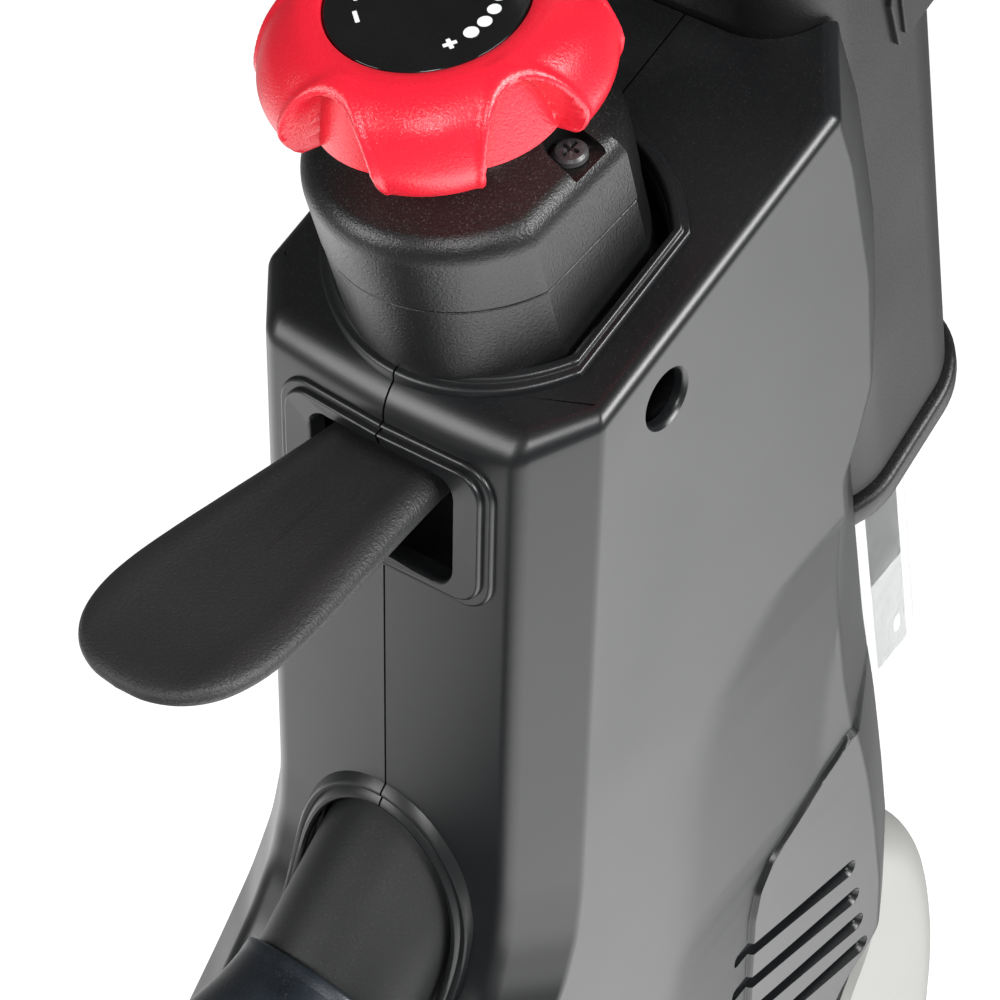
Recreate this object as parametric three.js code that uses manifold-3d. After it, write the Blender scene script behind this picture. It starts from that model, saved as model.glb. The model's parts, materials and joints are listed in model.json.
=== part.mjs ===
// Indoor training cycle: a raked handlebar and a saddle on a steel frame, a belt-driven flywheel under the
// control tower, a magnetic brake set by a turning knob and a hand lever that presses a brake shoe.
// Millimetres. +X is the rider's right, +Y is forward, +Z is up. Everything is drawn from the tower's datum,
// the middle of its top edge on the rider's side, and the whole group is then lifted onto the floor.

import * as THREE from "three";
import { mergeVertices } from "three/addons/utils/BufferGeometryUtils.js";
import Module from "manifold-3d";

const wasm = await Module();
wasm.setup();

// ---------------------------------------------------------------- driving dimensions
const towerHeight = 860; // floor to the tower's datum
const gap = 0.3; // between pieces that touch
const running = 0.6; // round a piece that slides or turns

const towerHalfWidth = 47.6;
const faceHalfWidth = 35.7; // the rider's face, between its two corner facets
const facetDepth = 16;
const noseInset = 18; // the forward corners' chamfer across
const noseDepth = 28; // and along
const shellWall = 3;
const topSlope = 22; // degrees the tower's top rises forward
const towerBottom = -340;

const rake = 13; // degrees the knob and the handlebar post lean to the rider
const dialY = 16.9; // the dial's centre
const dialZ = 89.6;
const dialRadius = 21.4;
const knobRadius = 37.5;
const knobHeight = 23;
const knobLobes = 5;
const pedestalHalfWidth = 29.3; // over its two flats
const pedestalRadius = 30;
const pedestalStretch = 14; // the forward arc's centre stands this far from the rider's
const pedestalShoulder = -39; // along the axis from the dial, the top of its upright wall
const pedestalSplit = -61; // where the cap meets the base
const pedestalFoot = -88;
const screwAlong = -41;
const lipHalfWidth = 37;
const lipRadius = 47;
const lipMiddleY = 40.5;
const lipWidth = 4.2;
const lipHeight = 3;
const knobCavityRadius = 20.5; // the knob's hollow over the cap's neck
const spindleRadius = 5;

const slotHalfWidth = 20.5;
const slotTop = -13.9;
const slotBottom = -43.4;
const bezelWidth = 10;
const bezelHeight = 2.4;
const leverZ = -20; // the paddle's middle where it leaves the tower
const leverDip = 3; // degrees it dips to the rider
const leverReach = 85;
const leverRootHalf = 16;
const leverHalfWidth = 25;
const leverThickness = 8;
const pivotY = 24;
const pinRadius = 4;
const rodX = 27.4;
const rodRadius = 2.4;
const fingerArm = 9; // from the lever's pin to the brake rod
const shoeClearance = 7;

const stubRadius = 22.5;
const stubDip = 41; // degrees the stub falls to the rider
const stubZ = -155; // its axis at the tower's face
const collarHalfWidth = 27;
const beamRadius = 25;
const beamStartY = -28;

const rimHalfWidth = 34; // the sleeve liner's flange
const rimHalfLength = 33.7;
const rimRadius = 22;
const rimY = 175; // the flange's centre
const rimZ = -112.4;
const rimRise = 31; // degrees the flange's face rises forward
const rimThickness = 7;
const sleeveInset = 3; // the sleeve's side, inside the flange's edge
const sleeveWall = 3.5;
const sleeveTop = 235; // along the rake, from the flange
const postHalf = 19.5;
const postCorner = 12;
const postBelow = 100; // past the flange at the lowest setting

const handlebarHalfWidth = 215;
const barRadius = 14;
const gripWall = 4;
const gripLength = 112;
const hornReach = 150;
const hornSpread = 72;

const plateThickness = 8;
const plateClearance = 3.6; // between the side plates and the tower's inner wall
const flywheelRadius = 195;
const flywheelRimHalf = 10;
const flywheelWebHalf = 5;
const flywheelY = 60;
const flywheelHeight = 300; // axle above the floor
const axleRadius = 8;
const magnetThickness = 3.2;
const magnetGap = 1.5;
const yokeTravel = 24;
const hoodWall = 2.5;
const hoodTop = -266;

const crankY = -300;
const crankHeight = 330;
const crankLength = 170;
const pedalLength = 92;
const pedalWidth = 88;
const drivePulleyRadius = 92;
const flywheelPulleyRadius = 30;
const beltThickness = 4;
const beltWidth = 12;
const guardWall = 2.5;

const seatLean = 17; // degrees the seat tube leans back
const seatTubeRadius = 27;
const seatTubeTop = 800; // above the floor
const seatPostRadius = 18;
const seatPostTop = 930;
const seatPostLength = 330;
const saddleLength = 270;
const saddleHalfWidth = 82;

const footHalfWidth = 255;
const footTubeDepth = 78;
const footTubeHeight = 40;
const footTubeBottom = 32;
const frontFootY = 110;
const rearFootY = -690;
const padRadius = 19;
const wheelRadius = 27;

// ---------------------------------------------------------------- derived places
const floorZ = -towerHeight;
const radians = (degrees) => THREE.MathUtils.degToRad(degrees);
const tan = (degrees) => Math.tan(radians(degrees));
const axleZ = floorZ + flywheelHeight;
const crankZ = floorZ + crankHeight;
const beamZ = stubZ + tan(stubDip) * (beamStartY + 4) - 3;
const plateOuter = towerHalfWidth - shellWall - plateClearance;
const plateInner = plateOuter - plateThickness;
const hoodHalfWidth = plateInner - 2;
const guardInnerX = plateOuter + 1.5;
const beltX = guardInnerX + guardWall + 2.5 + beltWidth / 2;
const guardOuterX = beltX + beltWidth / 2 + 3 + guardWall;
const crankX = guardOuterX + 9;
const spindleY = (z) => dialY + tan(rake) * (dialZ - z);
const postY = (z) => rimY + tan(rake) * (rimZ - z);
const seatY = (z) => crankY - tan(seatLean) * (z - crankZ);
const rimTopZ = (y, r = flywheelRadius) => axleZ + Math.sqrt(r * r - (y - flywheelY) ** 2);

// ---------------------------------------------------------------- joining and cutting
function toSolid(geometry) {
  const bare = geometry.clone();
  bare.deleteAttribute("normal");
  bare.deleteAttribute("uv");
  const merged = mergeVertices(bare, 1e-4);
  const vertProperties = merged.attributes.position.array;
  const triVerts = new Uint32Array(merged.index.array);
  return new wasm.Manifold(new wasm.Mesh({ numProp: 3, vertProperties, triVerts }));
}

function toGeometry(made) {
  const { vertProperties, triVerts, numProp } = made.getMesh();
  const position = new Float32Array((vertProperties.length / numProp) * 3);
  for (let i = 0; i < position.length / 3; i++) {
    position.set(vertProperties.subarray(i * numProp, i * numProp + 3), i * 3);
  }
  const geometry = new THREE.BufferGeometry();
  geometry.setAttribute("position", new THREE.BufferAttribute(position, 3));
  geometry.setIndex(new THREE.BufferAttribute(new Uint32Array(triVerts), 1));
  return geometry;
}

const combine = (method) => (first, ...rest) =>
  toGeometry(rest.reduce((made, next) => made[method](toSolid(next)), toSolid(first)));
const join = combine("add");
const cut = combine("subtract");
const common = combine("intersect");

// ---------------------------------------------------------------- simple solids
// A box by its lowest and highest corners.
function block(low, high) {
  const size = high.map((value, i) => value - low[i]);
  const middle = high.map((value, i) => (value + low[i]) / 2);
  return new THREE.BoxGeometry(...size).translate(...middle);
}

// A straight bar or cone from one point to another.
function bar(radius, from, to, sides = 20, endRadius = radius) {
  const start = new THREE.Vector3(...from);
  const along = new THREE.Vector3(...to).sub(start);
  const turn = new THREE.Quaternion().setFromUnitVectors(
    new THREE.Vector3(0, 1, 0),
    along.clone().normalize(),
  );
  const middle = start.addScaledVector(along, 0.5);
  return new THREE.CylinderGeometry(endRadius, radius, along.length(), sides)
    .applyQuaternion(turn)
    .translate(middle.x, middle.y, middle.z);
}

const barX = (radius, x0, x1, y, z, sides) => bar(radius, [x0, y, z], [x1, y, z], sides);

function outline(points) {
  return new THREE.Shape(points.map(([u, v]) => new THREE.Vector2(u, v)));
}

function extrude(shape, depth, curveSegments = 5) {
  return new THREE.ExtrudeGeometry(shape, { depth, bevelEnabled: false, curveSegments });
}

// A side outline of (y, z) points, from x0 to x1.
function sidePlate(shape, x0, x1, curveSegments) {
  const turn = new THREE.Matrix4().makeBasis(
    new THREE.Vector3(0, 1, 0),
    new THREE.Vector3(0, 0, 1),
    new THREE.Vector3(1, 0, 0),
  );
  return extrude(shape, x1 - x0, curveSegments).applyMatrix4(turn).translate(x0, 0, 0);
}

// A face outline of (x, z) points, from y0 forward to y1.
function facePlate(shape, y0, y1, curveSegments) {
  return extrude(shape, y1 - y0, curveSegments).rotateX(Math.PI / 2).translate(0, y1, 0);
}

function roundedRectangle(halfWidth, halfLength, radius, u = 0, v = 0) {
  const shape = new THREE.Shape();
  const a = halfWidth - radius;
  const b = halfLength - radius;
  const quarter = Math.PI / 2;
  shape.absarc(u + a, v + b, radius, 0, quarter);
  shape.absarc(u - a, v + b, radius, quarter, 2 * quarter);
  shape.absarc(u - a, v - b, radius, 2 * quarter, 3 * quarter);
  shape.absarc(u + a, v - b, radius, 3 * quarter, 4 * quarter);
  return shape;
}

// Leans a solid drawn upright about its own origin to the rider, then sets it at (0, y, z).
const leant = (geometry, degrees, y, z) => geometry.rotateX(radians(degrees)).translate(0, y, z);
const onKnobAxis = (geometry) => leant(geometry, rake, dialY, dialZ);
const onPostAxis = (geometry) => leant(geometry, rake, rimY, rimZ);
const onSeatAxis = (geometry) => leant(geometry, seatLean, crankY, crankZ);

function revolve(profile, sides) {
  const points = profile.map(([radius, height]) => new THREE.Vector2(radius, height));
  return new THREE.LatheGeometry(points, sides).rotateX(Math.PI / 2);
}

// A round section carried along a smooth path.
function bentTube(points, radius, steps, sides = 14) {
  const path = new THREE.CatmullRomCurve3(points.map((p) => new THREE.Vector3(...p)));
  const section = new THREE.Shape().absarc(0, 0, radius, 0, 2 * Math.PI);
  const settings = { steps, extrudePath: path, curveSegments: sides, bevelEnabled: false };
  return new THREE.ExtrudeGeometry(section, settings);
}

function mirrored(geometry) {
  const other = geometry.index ? geometry.toNonIndexed() : geometry.clone();
  other.scale(-1, 1, 1);
  const position = other.attributes.position;
  for (let i = 0; i < position.count; i += 3) {
    const first = new THREE.Vector3().fromBufferAttribute(position, i);
    const third = new THREE.Vector3().fromBufferAttribute(position, i + 2);
    position.setXYZ(i, third.x, third.y, third.z);
    position.setXYZ(i + 2, first.x, first.y, first.z);
  }
  return other;
}

// Rings of points, each with its own height, closed into one solid.
function loft(rings) {
  const count = rings[0].length;
  const position = rings.flat(2);
  const index = [];
  for (let ring = 0; ring < rings.length - 1; ring++) {
    for (let i = 0; i < count; i++) {
      const a = ring * count + i;
      const b = ring * count + ((i + 1) % count);
      index.push(a, b, b + count, a, b + count, a + count);
    }
  }
  const last = (rings.length - 1) * count;
  for (let i = 1; i < count - 1; i++) {
    index.push(0, i + 1, i);
    index.push(last, last + i, last + i + 1);
  }
  const geometry = new THREE.BufferGeometry();
  geometry.setAttribute("position", new THREE.Float32BufferAttribute(position, 3));
  geometry.setIndex(index);
  return geometry;
}

// ---------------------------------------------------------------- materials and the node list
const finish = (color, roughness, metalness = 0) =>
  new THREE.MeshStandardMaterial({ color, roughness, metalness, flatShading: true });
const finishes = {
  shell: finish(0x34363a, 0.42),
  texturedBlack: finish(0x1f2021, 0.6),
  red: finish(0xd8202f, 0.35),
  dial: finish(0x0b0b0c, 0.12),
  paddle: finish(0x1c1d1e, 0.75),
  beam: finish(0x20242c, 0.45, 0.4),
  steel: finish(0x9a9c9e, 0.35, 0.9),
  darkSteel: finish(0x2a2b2e, 0.4, 0.8),
  aluminium: finish(0xd9dbdc, 0.3, 0.85),
  hood: finish(0xe2e4e3, 0.4),
  rubber: finish(0x171718, 0.85),
  saddle: finish(0x1a1a1b, 0.6),
  magnet: finish(0xb8babd, 0.25, 0.9),
};

const bike = new THREE.Group();

function add(name, geometry, material) {
  const mesh = new THREE.Mesh(geometry, material);
  mesh.name = name;
  bike.add(mesh);
  return mesh;
}

// ---------------------------------------------------------------- control tower
// Heights down the tower with the y of its rider face and of its sides' forward edge.
const towerLevels = [
  [towerBottom, -112, 118],
  [-300, -112, 148],
  [-276, -104, 159],
  [-244, -80, 156],
  [-215, -53, 149],
  [-194, -33, 144],
  [-178, -19, 140.5],
  [-164, -10, 137],
  [-150, -5.5, 133],
  [-135, -3.84, 129],
  [-110, -3.13, 121],
  [-87, -2.48, 118],
  [-38, -1.08, 121],
  [25, 0.71, 105],
  [38, 1.08, 93],
  [75, 2.1, 60],
];

function towerSolid(inset, bottom) {
  const corner = inset * 0.4;
  const rings = towerLevels.map(([z, riderY, frontY], level) => {
    const half = [
      [faceHalfWidth - corner, riderY + inset],
      [towerHalfWidth - inset, riderY + facetDepth + corner],
      [towerHalfWidth - inset, frontY - corner],
      [towerHalfWidth - noseInset - corner, frontY + noseDepth - inset],
    ];
    const other = half.map(([x, y]) => [-x, y]).reverse();
    const height = level ? z : bottom;
    return [...half, ...other].map(([x, y]) => [x, y, height]);
  });
  const body = loft(rings);
  const roofDrop = inset / Math.cos(radians(topSlope));
  const wide = 4 * towerHalfWidth;
  const under = block([-wide, -400, -900], [wide, 600, 0]);
  under.rotateX(radians(topSlope)).translate(0, 0, -roofDrop);
  return common(body, under);
}

// The sleeve's outline, grown by a clearance, as a bar along the rake.
function sleeveBar(grow, from = -60, to = sleeveTop + 40) {
  const inset = sleeveInset - grow;
  const section = roundedRectangle(rimHalfWidth - inset, rimHalfLength - inset, rimRadius - inset);
  return onPostAxis(extrude(section, to - from, 4).translate(0, 0, from));
}

// The liner's flange, grown by a clearance.
function flangeBar(grow) {
  const section = roundedRectangle(rimHalfWidth + grow, rimHalfLength + grow, rimRadius + grow);
  return onPostAxis(extrude(section, 70, 4).translate(0, 0, -40));
}

// Two arcs facing each other, cut flat at both sides.
function flattenedRound(radius, side, riderCentre, forwardCentre) {
  const reach = Math.acos(side / radius);
  const shape = new THREE.Shape();
  shape.absarc(0, riderCentre, radius, reach - Math.PI, -reach);
  shape.absarc(0, forwardCentre, radius, reach, Math.PI - reach);
  return shape;
}

// The pedestal's outline as a bar along the knob's axis.
function pedestalBar(grow, from, to) {
  const shape = flattenedRound(
    pedestalRadius + grow, pedestalHalfWidth + grow, 0, pedestalStretch,
  );
  return onKnobAxis(extrude(shape, to - from, 9).translate(0, 0, from));
}

// The raised lip's outline round the pedestal, as an upright bar.
function lipBar(grow, from, to) {
  const radius = lipRadius + grow;
  const offset = lipRadius - lipHalfWidth;
  const shape = flattenedRound(
    radius, lipHalfWidth + grow, lipMiddleY + offset, lipMiddleY - offset,
  );
  return extrude(shape, to - from, 10).translate(0, 0, from);
}

function stubBar(grow, fromY, toY) {
  const at = (y) => [0, y, stubZ + tan(stubDip) * (y + 4)];
  return bar(stubRadius + grow, at(fromY), at(toY), 22);
}

function towerShells() {
  const bezel = facePlate(
    roundedRectangle(
      slotHalfWidth + bezelWidth,
      (slotTop - slotBottom) / 2 + 5,
      8,
      0,
      (slotTop + slotBottom) / 2,
    ),
    -bezelHeight - 1,
    shellWall,
  );
  const collar = facePlate(
    roundedRectangle(collarHalfWidth, 37, collarHalfWidth, 0, -157),
    -bezelHeight - 6,
    20,
    8,
  );
  const lip = common(
    lipBar(0, -30, 60),
    block([-90, -20, -60], [90, 140, lipHeight]).rotateX(radians(topSlope)),
  );
  const outer = join(towerSolid(0, towerBottom), bezel, collar, lip);

  const slot = facePlate(
    roundedRectangle(
      slotHalfWidth,
      (slotTop - slotBottom) / 2,
      5,
      0,
      (slotTop + slotBottom) / 2,
    ),
    -20,
    20,
  );
  const hollow = towerSolid(shellWall, towerBottom - 10);
  const stubHole = stubBar(1.2, -60, 34);
  const pedestalHole = join(lipBar(-lipWidth, -12, 80), pedestalBar(1, pedestalFoot - 20, -30));
  const screwHole = barX(6.8, -80, 80, 38.4, -2.1, 20);
  const vents = [0, 1, 2, 3].map((i) =>
    block([-80, 88 + 4 * i, -228 - 15 * i], [80, 137 + 4 * i, -223.5 - 15 * i]),
  );
  const seam = block([-gap / 2, -300, -500], [gap / 2, 400, 300]);
  const whole = cut(
    outer,
    hollow,
    slot,
    stubHole,
    pedestalHole,
    screwHole,
    sleeveBar(1),
    flangeBar(1),
    bar(beamRadius + 1.5, [0, beamStartY + 6, beamZ], [0, -200, beamZ], 24),
    block([-hoodHalfWidth - 1, 60, -600], [hoodHalfWidth + 1, 260, hoodTop + 2]),
    seam,
    ...vents,
  );
  const rightSide = block([0, -300, -500], [200, 400, 300]);
  return common(whole, rightSide);
}

const rightShell = towerShells();
add("tower_shell_right", rightShell, finishes.shell);
add("tower_shell_left", mirrored(rightShell), finishes.shell);

// Screws that draw the two shells onto the side plates, at the bottom of their round recesses.
for (const [side, x] of [["right", 1], ["left", -1]]) {
  const screw = join(
    barX(5.5, x * (plateOuter + gap), x * (plateOuter + 3), 38.4, -2.1),
    barX(3, x * (plateOuter - 6), x * (plateOuter + 1), 38.4, -2.1, 12),
  );
  add(`shell_screw_${side}`, screw, finishes.darkSteel);
}

// ---------------------------------------------------------------- knob, its pedestal and the spindle
const pedestalBore = onKnobAxis(
  new THREE.CylinderGeometry(spindleRadius + running, spindleRadius + running, 260, 20)
    .rotateX(Math.PI / 2),
);
const pedestalHollow = flattenedRound(
  pedestalRadius - shellWall, pedestalHalfWidth - shellWall, 0, pedestalStretch,
);
const pedestalBase = cut(
  pedestalBar(0, pedestalFoot, pedestalSplit - gap),
  pedestalBore,
  onKnobAxis(
    extrude(pedestalHollow, pedestalSplit - pedestalFoot, 9).translate(0, 0, pedestalFoot - 8),
  ),
);
add("knob_pedestal_base", pedestalBase, finishes.texturedBlack);

const neckRadius = knobCavityRadius - 2.5;
const neckTop = -knobHeight + 5;
const pocketX = 22.5;
const pocketV = 3;
const pockets = [-1, 1].map((side) =>
  onKnobAxis(
    bar(4.6, [side * pocketX, pocketV, screwAlong], [side * pocketX, pocketV, 40], 16),
  ),
);
const pedestalCap = cut(
  join(
    pedestalBar(0, pedestalSplit, pedestalShoulder),
    onKnobAxis(
      bar(28, [0, 0, pedestalShoulder - 0.5], [0, 0, -knobHeight - 3], 32, neckRadius),
    ),
    onKnobAxis(bar(neckRadius, [0, 0, pedestalShoulder], [0, 0, neckTop], 24)),
  ),
  pedestalBore,
  ...pockets,
);
add("knob_pedestal_cap", pedestalCap, finishes.texturedBlack);
for (const [side, x] of [["right", pocketX], ["left", -pocketX]]) {
  const screw = bar(3.9, [x, pocketV, screwAlong + gap], [x, pocketV, screwAlong + 3.5], 14);
  add(`pedestal_screw_${side}`, onKnobAxis(screw), finishes.darkSteel);
}

// The knob is a rounded ring with finger hollows between its lobes and a skirt over the cap's collar.
function knob() {
  const edge = knobRadius;
  const profile = [
    [spindleRadius + gap, -knobHeight + 9],
    [knobCavityRadius, -knobHeight + 9],
    [knobCavityRadius, -knobHeight],
    [edge - 5, -knobHeight],
    [edge - 1, -knobHeight + 4],
    [edge, -knobHeight + 10],
    [edge - 2, -7],
    [edge - 6, -1.5],
    [edge - 11, 1.2],
    [dialRadius + 1, 1],
    [dialRadius + gap, -1.8],
    [spindleRadius + gap, -1.8],
    [spindleRadius + gap, -knobHeight + 9],
  ];
  const ring = revolve(profile, 36);
  const hollows = [];
  for (let i = 0; i < knobLobes; i++) {
    const turn = (i / knobLobes) * 2 * Math.PI;
    const away = edge + 9.5;
    const x = away * Math.sin(turn);
    const y = -away * Math.cos(turn);
    hollows.push(bar(13, [x, y, -knobHeight - 1], [x * 1.02, y * 1.02, 3], 14));
  }
  return onKnobAxis(cut(ring, ...hollows));
}
add("resistance_knob", knob(), finishes.red);
add(
  "knob_dial",
  onKnobAxis(bar(dialRadius, [0, 0, -1.8 + gap], [0, 0, 0.4], 30)),
  finishes.dial,
);

const spindleEnd = rimTopZ(spindleY(axleZ + flywheelRadius - 14)) + 4;
const spindle = bar(
  spindleRadius,
  [0, spindleY(spindleEnd), spindleEnd],
  [0, dialY + 0.55, dialZ - 2.4],
  16,
);
add("brake_spindle", spindle, finishes.steel);

// ---------------------------------------------------------------- magnetic brake
// A yoke on the spindle's thread straddles the flywheel's rim and carries a magnet on each side.
const yokeZ = spindleEnd + yokeTravel + 9;
const cheekX = flywheelRimHalf + magnetGap + magnetThickness + gap;
function magnetYoke() {
  const body = block([-cheekX - 4, -20, -44], [cheekX + 4, 20, 9]);
  const slot = block([-cheekX, -21, -46], [cheekX, 21, 0]);
  const bore = bar(spindleRadius + running, [0, 0, -60], [0, 0, 60], 16);
  return leant(cut(body, slot, bore), rake, spindleY(yokeZ), yokeZ);
}
add("magnet_yoke", magnetYoke(), finishes.darkSteel);
for (const [side, sign] of [["right", 1], ["left", -1]]) {
  const inner = sign * (flywheelRimHalf + magnetGap);
  const outer = sign * (cheekX - gap);
  const low = [Math.min(inner, outer), -16, -42];
  const high = [Math.max(inner, outer), 16, -14];
  const magnet = leant(block(low, high), rake, spindleY(yokeZ), yokeZ);
  add(`brake_magnet_${side}`, magnet, finishes.magnet);
}

// ---------------------------------------------------------------- brake lever
const leverDrop = (y) => leverZ + tan(leverDip) * y;
const leverPivotZ = leverDrop(pivotY);

function brakeLever() {
  const blade = new THREE.Shape();
  const widestY = -52;
  const rootY = pivotY - 10;
  blade.moveTo(leverRootHalf, rootY);
  blade.bezierCurveTo(
    leverRootHalf + 1, -16, leverHalfWidth, -24, leverHalfWidth, widestY,
  );
  blade.bezierCurveTo(leverHalfWidth, -74, 14, -leverReach, 0, -leverReach);
  blade.bezierCurveTo(-14, -leverReach, -leverHalfWidth, -74, -leverHalfWidth, widestY);
  blade.bezierCurveTo(
    -leverHalfWidth, -24, -leverRootHalf - 1, -16, -leverRootHalf, rootY,
  );
  const paddle = extrude(blade, leverThickness, 8)
    .translate(0, 0, -leverThickness / 2)
    .rotateX(radians(leverDip))
    .translate(0, 0, leverZ);
  const neck = block(
    [-leverRootHalf, rootY - 2, leverPivotZ - 4],
    [leverRootHalf, pivotY, leverPivotZ + 4],
  );
  const hubEnd = plateInner - 1;
  const hub = barX(pinRadius + 4, -leverRootHalf, hubEnd, pivotY, leverPivotZ, 20);
  const finger = block(
    [rodX - 4, pivotY - fingerArm - 4, leverPivotZ - 4],
    [hubEnd, pivotY, leverPivotZ + 2],
  );
  const bore = barX(pinRadius + running, -60, 60, pivotY, leverPivotZ, 20);
  return cut(join(paddle, neck, hub, finger), bore);
}
add("brake_lever", brakeLever(), finishes.paddle);
add(
  "lever_pivot_pin",
  barX(pinRadius, -plateInner + gap, plateInner - gap, pivotY, leverPivotZ, 16),
  finishes.steel,
);

// A coil spring round the pin holds the lever up.
function returnSpring() {
  const turns = 4;
  const points = [];
  const perTurn = 8;
  const steps = turns * perTurn;
  for (let i = 0; i <= steps; i++) {
    const turn = (i / perTurn) * 2 * Math.PI;
    const x = -leverRootHalf - 3 - (10 * i) / steps;
    points.push([x, pivotY + 7 * Math.cos(turn), leverPivotZ + 7 * Math.sin(turn)]);
  }
  return bentTube(points, 0.8, steps, 5);
}
add("lever_return_spring", returnSpring(), finishes.steel);

// The rod hangs from the lever's finger beside the stub and ends in a shoe over the flywheel.
function brakeRod() {
  const rodY = pivotY - fingerArm;
  const shoeTop = rimTopZ(flywheelY) + shoeClearance + 12;
  const top = leverPivotZ - 4 - gap;
  const stem = bar(rodRadius, [rodX, rodY, shoeTop - 2], [rodX, rodY, top], 12);
  const shoe = block(
    [-flywheelRimHalf, rodY - 12, shoeTop - 40],
    [rodX + rodRadius, rodY + 22, shoeTop],
  );
  const swept = barX(flywheelRadius + shoeClearance, -60, 60, flywheelY, axleZ, 90);
  return join(stem, cut(shoe, swept));
}
add("brake_rod", brakeRod(), finishes.steel);

// ---------------------------------------------------------------- side plates, stub and beam
function sidePlateRight() {
  const footTop = floorZ + footTubeBottom + footTubeHeight;
  const shape = outline([
    [20, -12],
    [110, -12],
    [116, -100],
    [122, -200],
    [104, -290],
    [92, -400],
    [88, axleZ],
    [frontFootY + 28, footTop + gap],
    [frontFootY - 28, footTop + gap],
    [32, axleZ],
    [30, -400],
    [-36, -300],
    [-36, -262],
    [24, -200],
  ]);
  const plate = sidePlate(shape, plateInner, plateOuter);
  const screwBore = barX(3 + gap, 0, 80, 38.4, -2.1, 12);
  const axleBore = barX(axleRadius + running, 0, 80, flywheelY, axleZ, 24);
  return cut(plate, screwBore, axleBore);
}
const rightPlate = sidePlateRight();
add("side_plate_right", rightPlate, finishes.darkSteel);
add("side_plate_left", mirrored(rightPlate), finishes.darkSteel);

const stubEnd = block([-60, beamStartY, -400], [60, 200, 200]);
add("head_stub", common(stubBar(0, beamStartY - 40, 30), stubEnd), finishes.texturedBlack);

const seatTubeOuter = onSeatAxis(
  bar(seatTubeRadius + gap, [0, 0, -60], [0, 0, 600], 28),
);
const beamEndY = seatY(beamZ);
const topBeam = cut(
  bar(beamRadius, [0, beamStartY - gap, beamZ], [0, beamEndY, beamZ], 28),
  seatTubeOuter,
);
add("top_beam", topBeam, finishes.beam);

// ---------------------------------------------------------------- handlebar sleeve, liner and post
// Everything above a plane through the flange's centre that rises forward.
function aboveRim(offset) {
  return block([-200, -200, 0], [200, 200, 700])
    .rotateX(radians(rimRise))
    .translate(0, rimY, rimZ + offset);
}
const rimStep = rimThickness / Math.cos(radians(rimRise));

function postBar(grow, from, to) {
  const section = roundedRectangle(postHalf + grow, postHalf + grow, postCorner + grow);
  return onPostAxis(extrude(section, to - from, 4).translate(0, 0, from));
}

const sleeveBore = sleeveBar(-sleeveWall, -80, sleeveTop + 80);
const sleeve = cut(
  common(sleeveBar(0, -60, sleeveTop), aboveRim(rimStep + gap)),
  sleeveBore,
);
const pinAlong = sleeveTop - 30; // the pull pin's place along the sleeve
const pinHole = (radius, from, to) =>
  onPostAxis(bar(radius, [0, from, pinAlong], [0, to, pinAlong], 18));
add("handlebar_sleeve", cut(sleeve, pinHole(7, 0, 80)), finishes.texturedBlack);

function sleeveLiner() {
  const flange = common(
    onPostAxis(
      extrude(roundedRectangle(rimHalfWidth, rimHalfLength, rimRadius), 120, 4)
        .translate(0, 0, -60),
    ),
    aboveRim(0),
    block([-200, -200, -700], [200, 200, 0])
      .rotateX(radians(rimRise))
      .translate(0, rimY, rimZ + rimStep),
  );
  const body = common(
    sleeveBar(-sleeveWall - gap, -60, sleeveTop - gap),
    aboveRim(1),
  );
  return cut(
    join(flange, body),
    postBar(running, -90, sleeveTop + 90),
    pinHole(7, 0, 80),
  );
}
add("sleeve_liner", sleeveLiner(), finishes.texturedBlack);

// The head's underside clears the sleeve's highest corner at the lowest setting.
const headHeight = 34;
const sleeveHighest =
  rimZ + Math.cos(radians(rake)) * sleeveTop + Math.sin(radians(rake)) * rimHalfLength;
const topOfPost = sleeveHighest + 5;
function handlebarPost() {
  const post = postBar(0, -postBelow, sleeveTop + 16);
  const bore = onPostAxis(
    extrude(roundedRectangle(postHalf - 3, postHalf - 3, postCorner - 3), 320, 3)
      .translate(0, 0, -postBelow - 5),
  );
  const headY = postY(topOfPost);
  const head = block(
    [-29, headY - 38, topOfPost - 4],
    [29, headY + 38, topOfPost + headHeight],
  );
  const channel = block(
    [-21, headY - 60, topOfPost + 6],
    [21, headY + 60, topOfPost + headHeight + 5],
  );
  const lips = [-1, 1].map((side) =>
    block(
      [side > 0 ? 15 : -23, headY - 38, topOfPost + headHeight - 5],
      [side > 0 ? 23 : -15, headY + 38, topOfPost + headHeight],
    ),
  );
  const clampHole = barX(8, 0, 60, headY, topOfPost + 18, 14);
  return cut(join(cut(join(post, head), bore, channel), ...lips), clampHole);
}
add("handlebar_post", handlebarPost(), finishes.aluminium);

const railBottom = topOfPost + 6 + running;
const railTop = topOfPost + headHeight - 5 - running;
const railStart = postY(topOfPost) - 62;
const railEnd = postY(topOfPost) + 70;
add(
  "handlebar_rail",
  cut(
    join(
      block([-20.4, railStart, railBottom], [20.4, railEnd, railTop]),
      block([-14, railStart, railBottom], [14, railEnd, railTop + 9]),
    ),
    block([-12, railStart - 5, railBottom + 4], [12, railEnd - 6, railTop - 2]),
  ),
  finishes.aluminium,
);

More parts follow.
